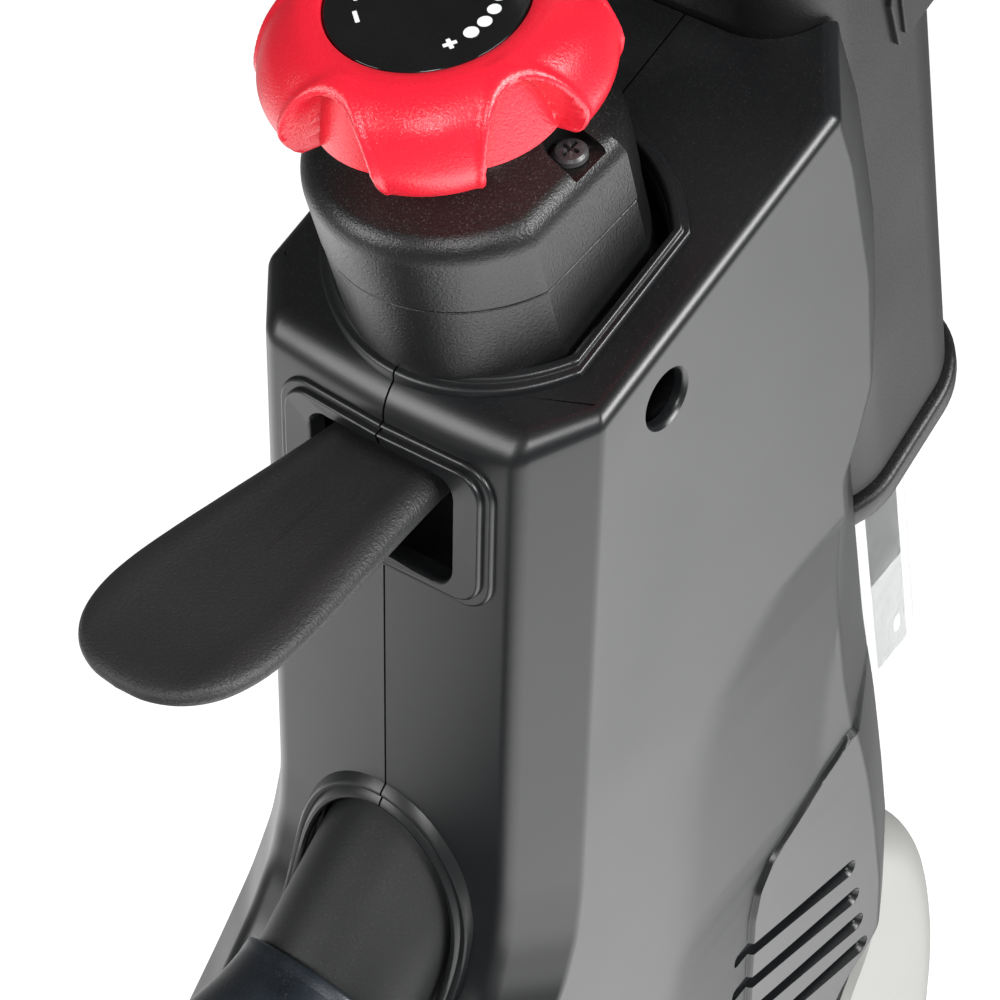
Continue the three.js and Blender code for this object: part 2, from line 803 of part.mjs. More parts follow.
// The bar crosses over the rail, and two horns reach forward from it and rise.
const barY = railStart + 30;
const barZ = railTop + 9 + gap + barRadius;
function handlebar() {
  const cross = barX(barRadius, -handlebarHalfWidth, handlebarHalfWidth, barY, barZ, 16);
  const horns = [-1, 1].map((side) =>
    bentTube(
      [
        [side * (hornSpread + 2), barY, barZ],
        [side * hornSpread, barY + hornReach * 0.4, barZ + 4],
        [side * (hornSpread - 6), barY + hornReach * 0.75, barZ + 18],
        [side * (hornSpread - 14), barY + hornReach, barZ + 44],
      ],
      barRadius - 1,
      7,
      10,
    ),
  );
  return join(cross, ...horns);
}
add("handlebar", handlebar(), finishes.texturedBlack);
for (const [side, sign] of [["right", 1], ["left", -1]]) {
  const end = sign * (handlebarHalfWidth + gripWall);
  const start = sign * (handlebarHalfWidth - gripLength);
  const sleeveOver = cut(
    barX(barRadius + gripWall, start, end, barY, barZ, 16),
    barX(barRadius + gap, start - sign * 5, sign * (handlebarHalfWidth + gap), barY, barZ, 16),
  );
  add(`grip_${side}`, sleeveOver, finishes.rubber);
}

// ---------------------------------------------------------------- clamp knobs
// A moulded hand knob with a shank, drawn with its shank's end at the origin and its head along +Z.
function handKnob(shankRadius, shankLength, headRadius, headLength) {
  const top = shankLength + headLength;
  const profile = [
    [0, 0],
    [shankRadius, 0],
    [shankRadius, shankLength],
    [headRadius * 0.45, shankLength],
    [headRadius * 0.6, shankLength + 5],
    [headRadius, shankLength + 9],
    [headRadius, top - 4],
    [headRadius - 4, top],
    [0, top],
  ];
  return revolve(profile, 18);
}

// Pull pin of the handlebar post, on the sleeve's forward side.
const pullPin = handKnob(6.4, 27, 21, 30).rotateX(-Math.PI / 2);
add(
  "post_pull_knob",
  onPostAxis(pullPin.translate(0, postHalf + running, pinAlong)),
  finishes.texturedBlack,
);
// Clamp knob of the handlebar rail, on the head's right.
const railKnob = handKnob(7.4, 20, 19, 24).rotateY(Math.PI / 2);
add(
  "rail_clamp_knob",
  railKnob.translate(20.4 + running, postY(topOfPost), topOfPost + 18),
  finishes.texturedBlack,
);

// ---------------------------------------------------------------- flywheel and its hood
function flywheel() {
  const r = flywheelRadius;
  const profile = [
    [axleRadius + gap, -16],
    [26, -16],
    [26, -flywheelWebHalf],
    [r - 42, -flywheelWebHalf],
    [r - 38, -flywheelRimHalf],
    [r, -flywheelRimHalf],
    [r, flywheelRimHalf],
    [r - 38, flywheelRimHalf],
    [r - 42, flywheelWebHalf],
    [26, flywheelWebHalf],
    [26, 16],
    [axleRadius + gap, 16],
    [axleRadius + gap, -16],
  ];
  const disc = revolve(profile, 48).rotateY(Math.PI / 2);
  const holes = [];
  const holeCount = 6;
  for (let i = 0; i < holeCount; i++) {
    const turn = ((i + 0.5) / holeCount) * 2 * Math.PI;
    const away = (r - 42 + 26) / 2;
    holes.push(barX(24, -20, 20, away * Math.cos(turn), away * Math.sin(turn), 14));
  }
  return cut(disc, ...holes).translate(0, flywheelY, axleZ);
}
add("flywheel", flywheel(), finishes.steel);

function flywheelAxle() {
  const shaft = barX(axleRadius, -plateOuter - 14, beltX + beltWidth / 2 + 2, flywheelY, axleZ);
  const pulley = barX(
    flywheelPulleyRadius - beltThickness,
    beltX - beltWidth / 2 - 1,
    beltX + beltWidth / 2 + 1,
    flywheelY,
    axleZ,
    36,
  );
  return join(shaft, pulley);
}
add("flywheel_axle", flywheelAxle(), finishes.darkSteel);

// The hood is a pale cowl over the flywheel's forward quarter, open to the rear and below.
const hoodLow = axleZ;
const hoodFront = flywheelY + flywheelRadius + 11;
function flywheelHood() {
  const top = [
    [160, hoodTop],
    [185, hoodTop - 2],
    [203, -282],
    [220, -302],
    [229, -330],
    [232, -360],
    [235, -430],
    [250, -490],
    [hoodFront, hoodLow],
  ];
  const under = [
    [hoodFront - 44, hoodLow - 6],
    [208, -490],
    [178, -440],
    [130, -410],
    [84, -400],
    [84, -330],
    [140, -290],
  ];
  const inner = top.map(([y, z], i) => {
    const before = top[Math.max(i - 1, 0)];
    const after = top[Math.min(i + 1, top.length - 1)];
    const run = new THREE.Vector2(after[0] - before[0], after[1] - before[1]).normalize();
    return [y + run.y * hoodWall, z - run.x * hoodWall];
  });
  inner[0][0] -= 40;
  inner[0][1] -= 4;
  inner[inner.length - 1][1] -= 30;
  const cavity = [...inner, [60, hoodLow - 30], [60, -300]];
  const body = sidePlate(outline([...top, ...under].reverse()), -hoodHalfWidth, hoodHalfWidth);
  const space = sidePlate(
    outline(cavity.reverse()),
    -hoodHalfWidth + hoodWall,
    hoodHalfWidth - hoodWall,
  );
  return cut(body, space);
}
add("flywheel_hood", flywheelHood(), finishes.hood);

// ---------------------------------------------------------------- bottom bracket, cranks and belt drive
const shellRadius = 28;
const shellBore = 18;
const bracketHalf = plateOuter - 2;
add(
  "bottom_bracket_shell",
  cut(
    barX(shellRadius, -bracketHalf, bracketHalf, crankY, crankZ, 32),
    barX(shellBore, -80, 80, crankY, crankZ, 28),
  ),
  finishes.beam,
);
const crankAxleEnd = crankX + 6;
add(
  "crank_axle",
  join(
    barX(9, -crankAxleEnd, crankAxleEnd, crankY, crankZ, 20),
    barX(shellBore - running, -bracketHalf + 4, bracketHalf - 4, crankY, crankZ, 28),
  ),
  finishes.steel,
);

// Loop of the belt round both pulleys, grown by a distance.
function beltLoop(grow, x0, x1, sides) {
  const big = drivePulleyRadius + grow;
  const small = flywheelPulleyRadius + grow;
  const dy = flywheelY - crankY;
  const dz = axleZ - crankZ;
  const span = Math.hypot(dy, dz);
  const slope = Math.atan2(dz, dy);
  const lean = Math.acos((big - small) / span);
  const shape = new THREE.Shape();
  shape.absarc(crankY, crankZ, big, slope + lean, slope - lean + 2 * Math.PI);
  shape.absarc(flywheelY, axleZ, small, slope - lean, slope + lean);
  return sidePlate(shape, x0, x1, sides);
}
const beltLow = beltX - beltWidth / 2;
const beltHigh = beltX + beltWidth / 2;
add(
  "drive_belt",
  cut(
    beltLoop(0, beltLow, beltHigh, 16),
    beltLoop(-beltThickness + gap, beltLow - 5, beltHigh + 5, 16),
  ),
  finishes.rubber,
);

function drivePulley() {
  const rim = barX(
    drivePulleyRadius - beltThickness, beltLow - 1, beltHigh + 1, crankY, crankZ, 48,
  );
  const bore = barX(9 + gap, 0, 100, crankY, crankZ, 20);
  const away = drivePulleyRadius * 0.58;
  const holes = [0, 1, 2, 3, 4].map((i) => {
    const turn = (i / 5) * 2 * Math.PI;
    const y = crankY + away * Math.cos(turn);
    const z = crankZ + away * Math.sin(turn);
    return barX(19, 0, 100, y, z, 16);
  });
  return cut(rim, bore, ...holes);
}
add("drive_pulley", drivePulley(), finishes.darkSteel);

// The guard is a closed pan round the belt with holes for both axles on its inner side.
function beltGuard() {
  const outerLoop = beltLoop(12, guardInnerX, guardOuterX, 14);
  const space = beltLoop(12 - guardWall, guardInnerX + guardWall, guardOuterX - guardWall, 14);
  const crankHole = barX(20, 0, 120, crankY, crankZ, 28);
  const axleHole = barX(axleRadius + 3, 0, beltX, flywheelY, axleZ, 20);
  return cut(outerLoop, space, crankHole, axleHole);
}
add("belt_guard", beltGuard(), finishes.shell);

// Cranks point forward on the right and to the rear on the left, and the pedals hang level.
function crank(sign) {
  const tipY = crankY + sign * crankLength;
  const inner = sign * (crankX - 7);
  const outer = sign * (crankX + 7);
  const low = Math.min(inner, outer);
  const high = Math.max(inner, outer);
  const arm = join(
    barX(19, low, high, crankY, crankZ, 24),
    barX(14, low, high, tipY, crankZ, 20),
    block(
      [low, Math.min(crankY, tipY), crankZ - 13],
      [high, Math.max(crankY, tipY), crankZ + 13],
    ),
  );
  return cut(
    arm,
    barX(9 + gap, -120, 120, crankY, crankZ, 20),
    barX(7, -120, 120, tipY, crankZ, 16),
  );
}
function pedal(sign) {
  const tipY = crankY + sign * crankLength;
  const at = (x) => sign * (crankX + x);
  const span = (a, b, y0, y1, z0, z1) =>
    block(
      [Math.min(at(a), at(b)), tipY + y0, crankZ + z0],
      [Math.max(at(a), at(b)), tipY + y1, crankZ + z1],
    );
  const start = 12;
  const end = start + pedalLength;
  const half = pedalWidth / 2;
  const hub = barX(11, at(9), at(end), tipY, crankZ, 20);
  const axle = barX(7 - gap, at(-6), at(10), tipY, crankZ, 16);
  const frame = cut(
    span(start, end, -half, half, -11, 11),
    span(start + 12, end - 12, -half + 12, -17, -20, 20),
    span(start + 12, end - 12, 17, half - 12, -20, 20),
  );
  return join(hub, axle, frame);
}
for (const [side, sign] of [["right", 1], ["left", -1]]) {
  add(`crank_${side}`, crank(sign), finishes.darkSteel);
  add(`pedal_${side}`, pedal(sign), finishes.texturedBlack);
}

// ---------------------------------------------------------------- frame tubes
const bracketClear = barX(shellRadius + gap, -100, 100, crankY, crankZ, 32);
const seatTubeLength = (seatTubeTop + floorZ - crankZ) / Math.cos(radians(seatLean));
const seatBore = onSeatAxis(
  bar(seatPostRadius + running, [0, 0, 120], [0, 0, 700], 28),
);
const seatPinAlong = seatTubeLength - 55;
const seatPinHole = onSeatAxis(
  bar(6.6, [0, -seatTubeRadius * 3, seatPinAlong], [0, 0, seatPinAlong], 16),
);
add(
  "seat_tube",
  cut(
    onSeatAxis(bar(seatTubeRadius, [0, 0, 0], [0, 0, seatTubeLength], 28)),
    bracketClear,
    seatBore,
    seatPinHole,
  ),
  finishes.beam,
);

const tubeRadius = 24;
const downTubeTop = [0, 10, -290];
add(
  "down_tube",
  cut(
    bar(tubeRadius, downTubeTop, [0, crankY, crankZ], 24),
    bracketClear,
    seatTubeOuter,
  ),
  finishes.beam,
);
const rearTubeZ = floorZ + footTubeBottom + footTubeHeight / 2;
const rearBlock = block(
  [-80, rearFootY - 80, floorZ - 10],
  [80, rearFootY + footTubeDepth / 2 + gap, floorZ + footTubeBottom + footTubeHeight + gap],
);
add(
  "rear_leg",
  cut(
    bar(tubeRadius, [0, rearFootY + 12, rearTubeZ + 18], [0, crankY, crankZ], 24),
    bracketClear,
    seatTubeOuter,
    bar(tubeRadius + gap, downTubeTop, [0, crankY, crankZ], 24),
    rearBlock,
  ),
  finishes.beam,
);

// ---------------------------------------------------------------- stabilisers, feet and transport wheels
const footX = footHalfWidth - 34;
function stabiliser(y) {
  const section = roundedRectangle(
    footTubeDepth / 2, footTubeHeight / 2, 12, y, floorZ + footTubeBottom + footTubeHeight / 2,
  );
  const beam = sidePlate(section, -footHalfWidth, footHalfWidth, 4);
  const bores = [-1, 1].map((side) =>
    bar(5 + running, [side * footX, y, floorZ], [side * footX, y, floorZ + 100], 14),
  );
  return cut(beam, ...bores);
}
const wheelX = footHalfWidth - 75;
const wheelY = frontFootY + footTubeDepth / 2 + wheelRadius + 3;
const wheelZ = floorZ + wheelRadius + 9;
const lugs = [-1, 1].flatMap((side) =>
  [-1, 1].map((edge) => {
    const x = side * wheelX + edge * 16;
    return join(
      block([x - 3, frontFootY + footTubeDepth / 2 - 4, wheelZ - 4], [x + 3, wheelY, wheelZ + 14]),
      barX(11, x - 3, x + 3, wheelY, wheelZ, 12),
    );
  }),
);
const wheelBores = barX(4 + running, -300, 300, wheelY, wheelZ, 8);
add(
  "front_stabiliser",
  join(stabiliser(frontFootY), ...lugs.map((lug) => cut(lug, wheelBores))),
  finishes.beam,
);
add("rear_stabiliser", stabiliser(rearFootY), finishes.beam);
for (const [side, sign] of [["right", 1], ["left", -1]]) {
  const x = sign * wheelX;
  const wheel = join(
    barX(wheelRadius, x - 11, x + 11, wheelY, wheelZ, 24),
    barX(4, x - 22, x + 22, wheelY, wheelZ, 12),
  );
  add(`transport_wheel_${side}`, wheel, finishes.rubber);
}
for (const [end, y] of [["front", frontFootY], ["rear", rearFootY]]) {
  for (const [side, sign] of [["right", 1], ["left", -1]]) {
    const foot = join(
      bar(padRadius, [0, 0, 0], [0, 0, 10], 24),
      bar(padRadius, [0, 0, 10], [0, 0, 15], 24, 9),
      bar(5, [0, 0, 12], [0, 0, footTubeBottom + footTubeHeight + 8], 14),
    );
    foot.translate(sign * footX, y, floorZ);
    add(`levelling_foot_${end}_${side}`, foot, finishes.rubber);
  }
}

// ---------------------------------------------------------------- seat post and saddle
const seatPostEnd = (seatPostTop + floorZ - crankZ) / Math.cos(radians(seatLean));
const saddleZ = seatPostTop + floorZ;
const saddleY = seatY(saddleZ);
function seatPost() {
  const tube = onSeatAxis(
    bar(seatPostRadius, [0, 0, seatPostEnd - seatPostLength], [0, 0, seatPostEnd], 28),
  );
  const head = block([-24, saddleY - 36, saddleZ - 6], [24, saddleY + 36, saddleZ + 26]);
  const channel = block([-17, saddleY - 60, saddleZ + 4], [17, saddleY + 60, saddleZ + 40]);
  const lips = [-1, 1].map((side) =>
    block(
      [side > 0 ? 11 : -19, saddleY - 36, saddleZ + 21],
      [side > 0 ? 19 : -11, saddleY + 36, saddleZ + 26],
    ),
  );
  const knobHole = barX(8, 0, 60, saddleY, saddleZ + 13, 14);
  return cut(join(cut(join(tube, head), channel), ...lips), knobHole);
}
add("seat_post", seatPost(), finishes.aluminium);

const saddleRailLow = saddleZ + 4 + running;
const saddleRailHigh = saddleZ + 21 - running;
const saddleMiddle = saddleY - 8;
const saddleBaseZ = saddleZ + 42;
function saddleOutline(inset) {
  const back = saddleMiddle - saddleLength / 2 + inset;
  const nose = saddleMiddle + saddleLength / 2 - inset;
  const wide = saddleHalfWidth - inset;
  const slim = 21 - inset;
  const shape = new THREE.Shape();
  shape.moveTo(0, back);
  shape.bezierCurveTo(wide * 0.7, back - 2, wide, back + 22, wide, back + 62);
  shape.bezierCurveTo(wide, back + 118, slim + 6, back + 128, slim, back + 190);
  shape.bezierCurveTo(slim, nose - 8, slim * 0.7, nose, 0, nose);
  shape.bezierCurveTo(-slim * 0.7, nose, -slim, nose - 8, -slim, back + 190);
  shape.bezierCurveTo(-slim - 6, back + 128, -wide, back + 118, -wide, back + 62);
  shape.bezierCurveTo(-wide, back + 22, -wide * 0.7, back - 2, 0, back);
  return shape;
}
function saddleCarriage() {
  const rail = block(
    [-16.4, saddleY - 66, saddleRailLow],
    [16.4, saddleY + 66, saddleRailHigh],
  );
  const web = block([-10, saddleY - 66, saddleRailHigh - 1], [10, saddleY + 66, saddleBaseZ + 1]);
  const pan = extrude(saddleOutline(6), 6, 5).translate(0, 0, saddleBaseZ);
  return join(rail, web, pan);
}
add("saddle_carriage", saddleCarriage(), finishes.texturedBlack);
const padHeight = 34;
add(
  "saddle_pad",
  extrude(saddleOutline(0), padHeight, 6).translate(0, 0, saddleBaseZ + 6 + gap),
  finishes.saddle,
);
const saddleKnob = handKnob(7.4, 18, 19, 24).rotateY(Math.PI / 2);
add(
  "saddle_clamp_knob",
  saddleKnob.translate(16.4 + running, saddleY, saddleZ + 13),
  finishes.texturedBlack,
);
const seatPull = handKnob(6, 20, 20, 28).rotateX(Math.PI / 2);
add(
  "seat_pull_knob",
  onSeatAxis(seatPull.translate(0, -seatPostRadius - running, seatPinAlong)),
  finishes.texturedBlack,
);

// ---------------------------------------------------------------- onto the floor
const rearmost = rearFootY - footTubeDepth / 2;
bike.position.set(0, -(rearmost + hoodFront) / 2, towerHeight);

export default bike;
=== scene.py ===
"""Indoor training cycle: finished surfaces, materials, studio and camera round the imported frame.

Shapes are drawn in the control tower's own millimetres, from its datum, the middle of its top edge on the
rider's side: +X to the rider's right, +Y forward, +Z up. `placed` carries them to the row frame in metres.
"""
import json
from math import cos, pi, radians, sin, tan

import bpy
import numpy as np
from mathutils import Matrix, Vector


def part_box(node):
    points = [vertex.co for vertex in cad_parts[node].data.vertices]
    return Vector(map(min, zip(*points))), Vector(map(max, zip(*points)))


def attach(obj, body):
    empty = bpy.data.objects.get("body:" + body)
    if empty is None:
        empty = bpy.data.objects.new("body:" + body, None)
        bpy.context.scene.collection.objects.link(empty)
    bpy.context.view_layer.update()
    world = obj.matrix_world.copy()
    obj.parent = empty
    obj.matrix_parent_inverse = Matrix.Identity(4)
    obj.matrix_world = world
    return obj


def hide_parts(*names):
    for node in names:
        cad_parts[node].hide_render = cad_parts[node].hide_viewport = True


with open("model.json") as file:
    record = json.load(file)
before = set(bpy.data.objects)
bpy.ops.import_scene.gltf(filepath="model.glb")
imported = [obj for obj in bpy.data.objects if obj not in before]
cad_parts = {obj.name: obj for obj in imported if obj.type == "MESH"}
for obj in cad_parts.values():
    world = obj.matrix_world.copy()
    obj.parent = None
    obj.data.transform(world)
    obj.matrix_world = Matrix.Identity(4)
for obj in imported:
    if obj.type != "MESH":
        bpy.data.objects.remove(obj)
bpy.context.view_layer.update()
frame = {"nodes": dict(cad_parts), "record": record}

shell_low, shell_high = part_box("tower_shell_right")
DATUM = np.array([0.0, shell_low.y + 0.112, shell_low.z + 0.340])
HALF = shell_high.x * 1000  # half the tower's width

# ---------------------------------------------------------------- sizes, in millimetres
FACE_HALF = 35.7
FACET_DEPTH = 16.0
FACE_BULGE = 1.6
NOSE_INSET = 18.0
NOSE_DEPTH = 28.0
WALL = 3.0
TOP_SLOPE = 22.0
SEAM = 0.26  # half the gap between the two shells
RAKE = 13.0
DIAL = (16.9, 89.6)
RIM = (175.0, -112.4)
RIM_RISE = 31.0
STUB_DIP = 41.0
STUB_Z = -155.0
SCREW = (38.4, -2.1)  # the side screw's well, along and up
SLOT = (20.5, -13.9, -43.4)  # half width, top, bottom
SLOPE = tan(radians(TOP_SLOPE))


# ---------------------------------------------------------------- meshes from arrays
def placed(points):
    """Tower millimetres to the row frame's metres: divide by 1000 and add the datum."""
    return np.asarray(points, float) / 1000 + DATUM


def skin(points, around=True, ends="cap"):
    """Points and faces of a grid of rings. Neighbouring rings are joined by quads; `around` joins each ring's
    end to its start, and the first and last rings are capped by one face each, joined, or left open."""
    n, m = points.shape[:2]
    i, j = np.meshgrid(
        np.arange(n if ends == "join" else n - 1), np.arange(m if around else m - 1), indexing="ij"
    )
    k, l = (i + 1) % n, (j + 1) % m
    faces = [np.stack([i * m + j, i * m + l, k * m + l, k * m + j], -1).reshape(-1, 4)]
    if ends == "cap":
        faces += [np.arange(m)[None, ::-1], (n - 1) * m + np.arange(m)[None, :]]
    return points.reshape(-1, 3), faces


def merged(*parts):
    """Several (points, faces) pairs as one."""
    points, faces, start = [], [], 0
    for p, f in parts:
        points.append(p)
        faces += [x + start for x in f]
        start += len(p)
    return np.concatenate(points), faces


def volume(points, faces):
    """Signed volume: the sum over triangles of a . (b x c)."""
    total = 0.0
    for f in faces:
        a = points[f[:, 0]]
        for k in range(1, f.shape[1] - 1):
            total += np.einsum("ij,ij->", a, np.cross(points[f[:, k]], points[f[:, k + 1]]))
    return total


def mesh(name, points, faces, at=placed):
    """A mesh whose faces point outwards: they are turned over if the signed volume is negative."""
    place = at(points)
    if volume(place - place.mean(axis=0), faces) < 0:
        faces = [f[:, ::-1] for f in faces]
    loops = np.concatenate([f.ravel() for f in faces]).astype(np.int32)
    sizes = np.concatenate([np.full(len(f), f.shape[1]) for f in faces])
    made = bpy.data.meshes.new(name)
    made.vertices.add(len(place))
    made.vertices.foreach_set("co", place.astype(np.float32).ravel())
    made.loops.add(len(loops))
    made.loops.foreach_set("vertex_index", loops)
    made.polygons.add(len(sizes))
    made.polygons.foreach_set("loop_start", np.r_[0, np.cumsum(sizes)[:-1]].astype(np.int32))
    made.update(calc_edges=True)
    made.validate()
    made.polygons.foreach_set("use_smooth", np.ones(len(made.polygons), bool))
    return made


def shown(name, data):
    o = bpy.data.objects.new(name, data)
    bpy.context.scene.collection.objects.link(o)
    return o


def carved(base, *steps):
    """A solid joined with or cut by others in turn. Each step is (operation, mesh)."""
    host = shown("host", base)
    tools = [shown("tool", m) for _, m in steps]
    for (operation, _), tool in zip(steps, tools):
        step = host.modifiers.new("step", "BOOLEAN")
        step.operation, step.solver, step.object = operation, "MANIFOLD", tool
    made = bpy.data.meshes.new_from_object(host.evaluated_get(bpy.context.evaluated_depsgraph_get()))
    for o in (host, *tools):
        bpy.data.objects.remove(o)
    made.polygons.foreach_set("use_smooth", np.ones(len(made.polygons), bool))
    return made


def piece(name, data, finish_name, body, *nodes, slot=None, sharp=35.0, even=False):
    """A finished piece riding on a body in place of CAD nodes, finished as `finish_name` says. The `slot` argument
    is not used. Edges sharper than `sharp` degrees stay crisp, and `even` lets large flat faces keep their own
    direction."""
    data.name = name
    data.materials.clear()
    data.materials.append(FINISHES[finish_name])
    data.set_sharp_from_angle(angle=radians(sharp))
    o = shown(name, data)
    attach(o, body)
    if nodes:
        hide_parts(*nodes)
    if even:
        step = o.modifiers.new("even faces", "WEIGHTED_NORMAL")
        step.keep_sharp = True
        step.weight = 100
    return o


# ---------------------------------------------------------------- curves and solids
def leaned(points, degrees, y, z):
    """Points (u, v, w) on an axis that leans to the rider by `degrees` through (y, z)."""
    u, v, w = np.moveaxis(np.asarray(points, float), -1, 0)
    c, s = cos(radians(degrees)), sin(radians(degrees))
    return np.stack([u, y + v * c - w * s, z + v * s + w * c], -1)


def on_knob(points):
    return leaned(points, RAKE, *DIAL)


def on_post(points):
    return leaned(points, RAKE, *RIM)


def on_face(points):
    """Points (x, z, outward) on the tower's rider face, which leans by 1.63 degrees."""
    x, z, out = np.moveaxis(np.asarray(points, float), -1, 0)
    return np.stack([x, 0.02846 * z + FACE_BULGE * np.abs(x) / FACE_HALF - out, z + 0.028 * out], -1)


def on_side(points):
    """Points (y, z, x) seen from the rider's right."""
    y, z, x = np.moveaxis(np.asarray(points, float), -1, 0)
    return np.stack([x, y, z], -1)


def unit(v):
    return v / np.maximum(np.linalg.norm(v, axis=-1, keepdims=True), 1e-12)


def rounded(corners, radii, arc=9, run=1):
    """A closed outline and its outward normals. At each corner a circular arc touches both sides, so its centre
    stands radius / sin(half angle) along the bisector; `run` points are spaced along each straight side."""
    corners = np.asarray(corners, float)
    count = len(corners)
    radii = np.broadcast_to(np.asarray(radii, float), count)
    arcs = []
    for i in range(count):
        a, b, c = corners[i - 1], corners[i], corners[(i + 1) % count]
        e1, e2 = unit(a - b), unit(c - b)
        half = np.arccos(np.clip(e1 @ e2, -1, 1)) / 2
        centre = b + unit(e1 + e2) * radii[i] / sin(half)
        reach = radii[i] / tan(half)
        n1, n2 = (b + e1 * reach - centre) / radii[i], (b + e2 * reach - centre) / radii[i]
        turn = pi - 2 * half
        f = np.linspace(0, 1, arc)[:, None]
        n = (np.sin((1 - f) * turn) * n1 + np.sin(f * turn) * n2) / sin(turn)
        arcs.append((centre + radii[i] * n, n))
    points, normals = [], []
    for i in range(count):
        p, n = arcs[i]
        q = arcs[(i + 1) % count][0]
        f = np.linspace(0, 1, run + 2)[1:-1, None]
        points += [p, p[-1] + (q[0] - p[-1]) * f]
        normals += [n, np.repeat(n[-1:], len(f), 0)]
    return np.concatenate(points), np.concatenate(normals)


def rectangle(half_u, half_v, radius, u=0.0, v=0.0, arc=9, run=1):
    box = np.array([(-half_u, -half_v), (half_u, -half_v), (half_u, half_v), (-half_u, half_v)])
    return rounded(box + (u, v), radius, arc, run)


def circle(radius, count=48, u=0.0, v=0.0):
    t = np.linspace(0, 2 * pi, count, endpoint=False)
    n = np.stack([np.cos(t), np.sin(t)], -1)
    return n * radius + (u, v), n


def flattened(radius, side, low, high, count=40):
    """Two arcs facing each other, centred at `low` and `high` along v, cut flat at u = +-side."""
    reach = np.arccos(min(side / radius, 1.0))
    t = np.concatenate([np.linspace(reach - pi, -reach, count), np.linspace(reach, pi - reach, count)])
    n = np.stack([np.cos(t), np.sin(t)], -1)
    centre = np.repeat([low, high], count)
    return n * radius + np.stack([np.zeros_like(centre), centre], -1), n


def carried(outline, profile):
    """An outline's points and normals carried through a profile of (drawn in, height) pairs."""
    p, n = outline
    inset, height = np.asarray(profile, float).T
    plan = p[None] - n[None] * inset[:, None, None]
    rise = np.broadcast_to(height[:, None, None], plan.shape[:2] + (1,))
    return np.concatenate([plan, rise], -1)


def rim(inset, height, radius, start, stop, steps=6):
    """Quarter-circle part of a profile, centred at (inset, height), from angle start to stop in degrees."""
    t = np.radians(np.linspace(start, stop, steps))
    return [(inset - radius * cos(a), height + radius * sin(a)) for a in t]


def slab(outline, low, high, low_edge=0.0, high_edge=0.0):
    """An outline between two heights with rounded rims."""
    profile = []
    profile += rim(low_edge, low + low_edge, low_edge, -90, 0) if low_edge else [(0, low)]
    profile += rim(high_edge, high - high_edge, high_edge, 0, 90) if high_edge else [(0, high)]
    return carried(outline, profile)


def turned(profile, count=64):
    """A profile of (radius, height) pairs turned about the axis."""
    r, h = np.asarray(profile, float).T
    t = np.linspace(0, 2 * pi, count, endpoint=False)
    return np.stack(
        [r[:, None] * np.cos(t), r[:, None] * np.sin(t), np.broadcast_to(h[:, None], (len(r), count))], -1
    )


def tube(path, radius, count=32):
    """A round section carried along a path: each ring stands square to the path's own direction, and turns as
    little as it can from the ring before."""
    path = np.asarray(path, float)
    radius = np.broadcast_to(radius, len(path))
    along = unit(np.gradient(path, axis=0))
    side = np.cross(along, [0.31, 0.17, 0.93])
    side = unit(side)
    for i in range(1, len(path)):
        side[i] = unit(side[i - 1] - along[i] * (side[i - 1] @ along[i]))
    up = np.cross(along, side)
    t = np.linspace(0, 2 * pi, count, endpoint=False)
    ring = np.cos(t)[None, :, None] * side[:, None] + np.sin(t)[None, :, None] * up[:, None]
    return path[:, None] + ring * radius[:, None, None]


def smooth(points, steps):
    """A smooth curve through points: cubic pieces whose slopes come from the neighbouring points."""
    p = np.asarray(points, float)
    p = np.concatenate([[2 * p[0] - p[1]], p, [2 * p[-1] - p[-2]]])
    t = np.linspace(0, len(p) - 3 - 1e-9, steps)
    i = t.astype(int)
    f = (t - i)[:, None]
    a, b, c, d = p[i], p[i + 1], p[i + 2], p[i + 3]
    return 0.5 * (2 * b + (c - a) * f + (2 * a - 5 * b + 4 * c - d) * f**2 + (3 * b - a - 3 * c + d) * f**3)


def bar(start, end, radius, edge=0.0, count=40):
    """A round bar between two points, its ends drawn in by a small quarter circle."""
    start, end = np.asarray(start, float), np.asarray(end, float)
    length = np.linalg.norm(end - start)
    e = max(edge, 0.01)
    profile = [(radius - i, h) for i, h in rim(e, e, e, -90, 0, 4) + rim(e, length - e, e, 0, 90, 4)]
    g = turned(profile, count)
    w = unit(end - start)
    u = unit(np.cross(w, [0.2, 0.3, 0.9]))
    return start + g[..., :1] * u + g[..., 1:2] * np.cross(w, u) + g[..., 2:] * w


def ramp(x):
    """Smooth step from 0 to 1: 3x^2 - 2x^3."""
    x = np.clip(x, 0, 1)
    return x * x * (3 - 2 * x)


# ---------------------------------------------------------------- shared node groups
def group(name, inputs, outputs):
    """A node group whose inputs and outputs are all plain numbers."""
    made = bpy.data.node_groups.new(name, "ShaderNodeTree")
    for label, value in inputs.items():
        made.interface.new_socket(label, in_out="INPUT", socket_type="NodeSocketFloat").default_value = value
    for label in outputs:
        made.interface.new_socket(label, in_out="OUTPUT", socket_type="NodeSocketFloat")
    return made, made.nodes.new("NodeGroupInput"), made.nodes.new("NodeGroupOutput")


def node(tree, kind, links=None, **settings):
    """A node with its properties set and its inputs linked or given values, by input name or number."""
    made = tree.nodes.new("ShaderNode" + kind)
    for key, value in settings.items():
        setattr(made, key, value)
    for key, value in (links or {}).items():
        socket = made.inputs[key]
        if isinstance(value, bpy.types.NodeSocket):
            tree.links.new(value, socket)
        else:
            socket.default_value = value
    return made


def maths(tree, operation, a, b=0.0, c=0.0, clamp=False):
    return node(tree, "Math", {0: a, 1: b, 2: c}, operation=operation, use_clamp=clamp).outputs[0]


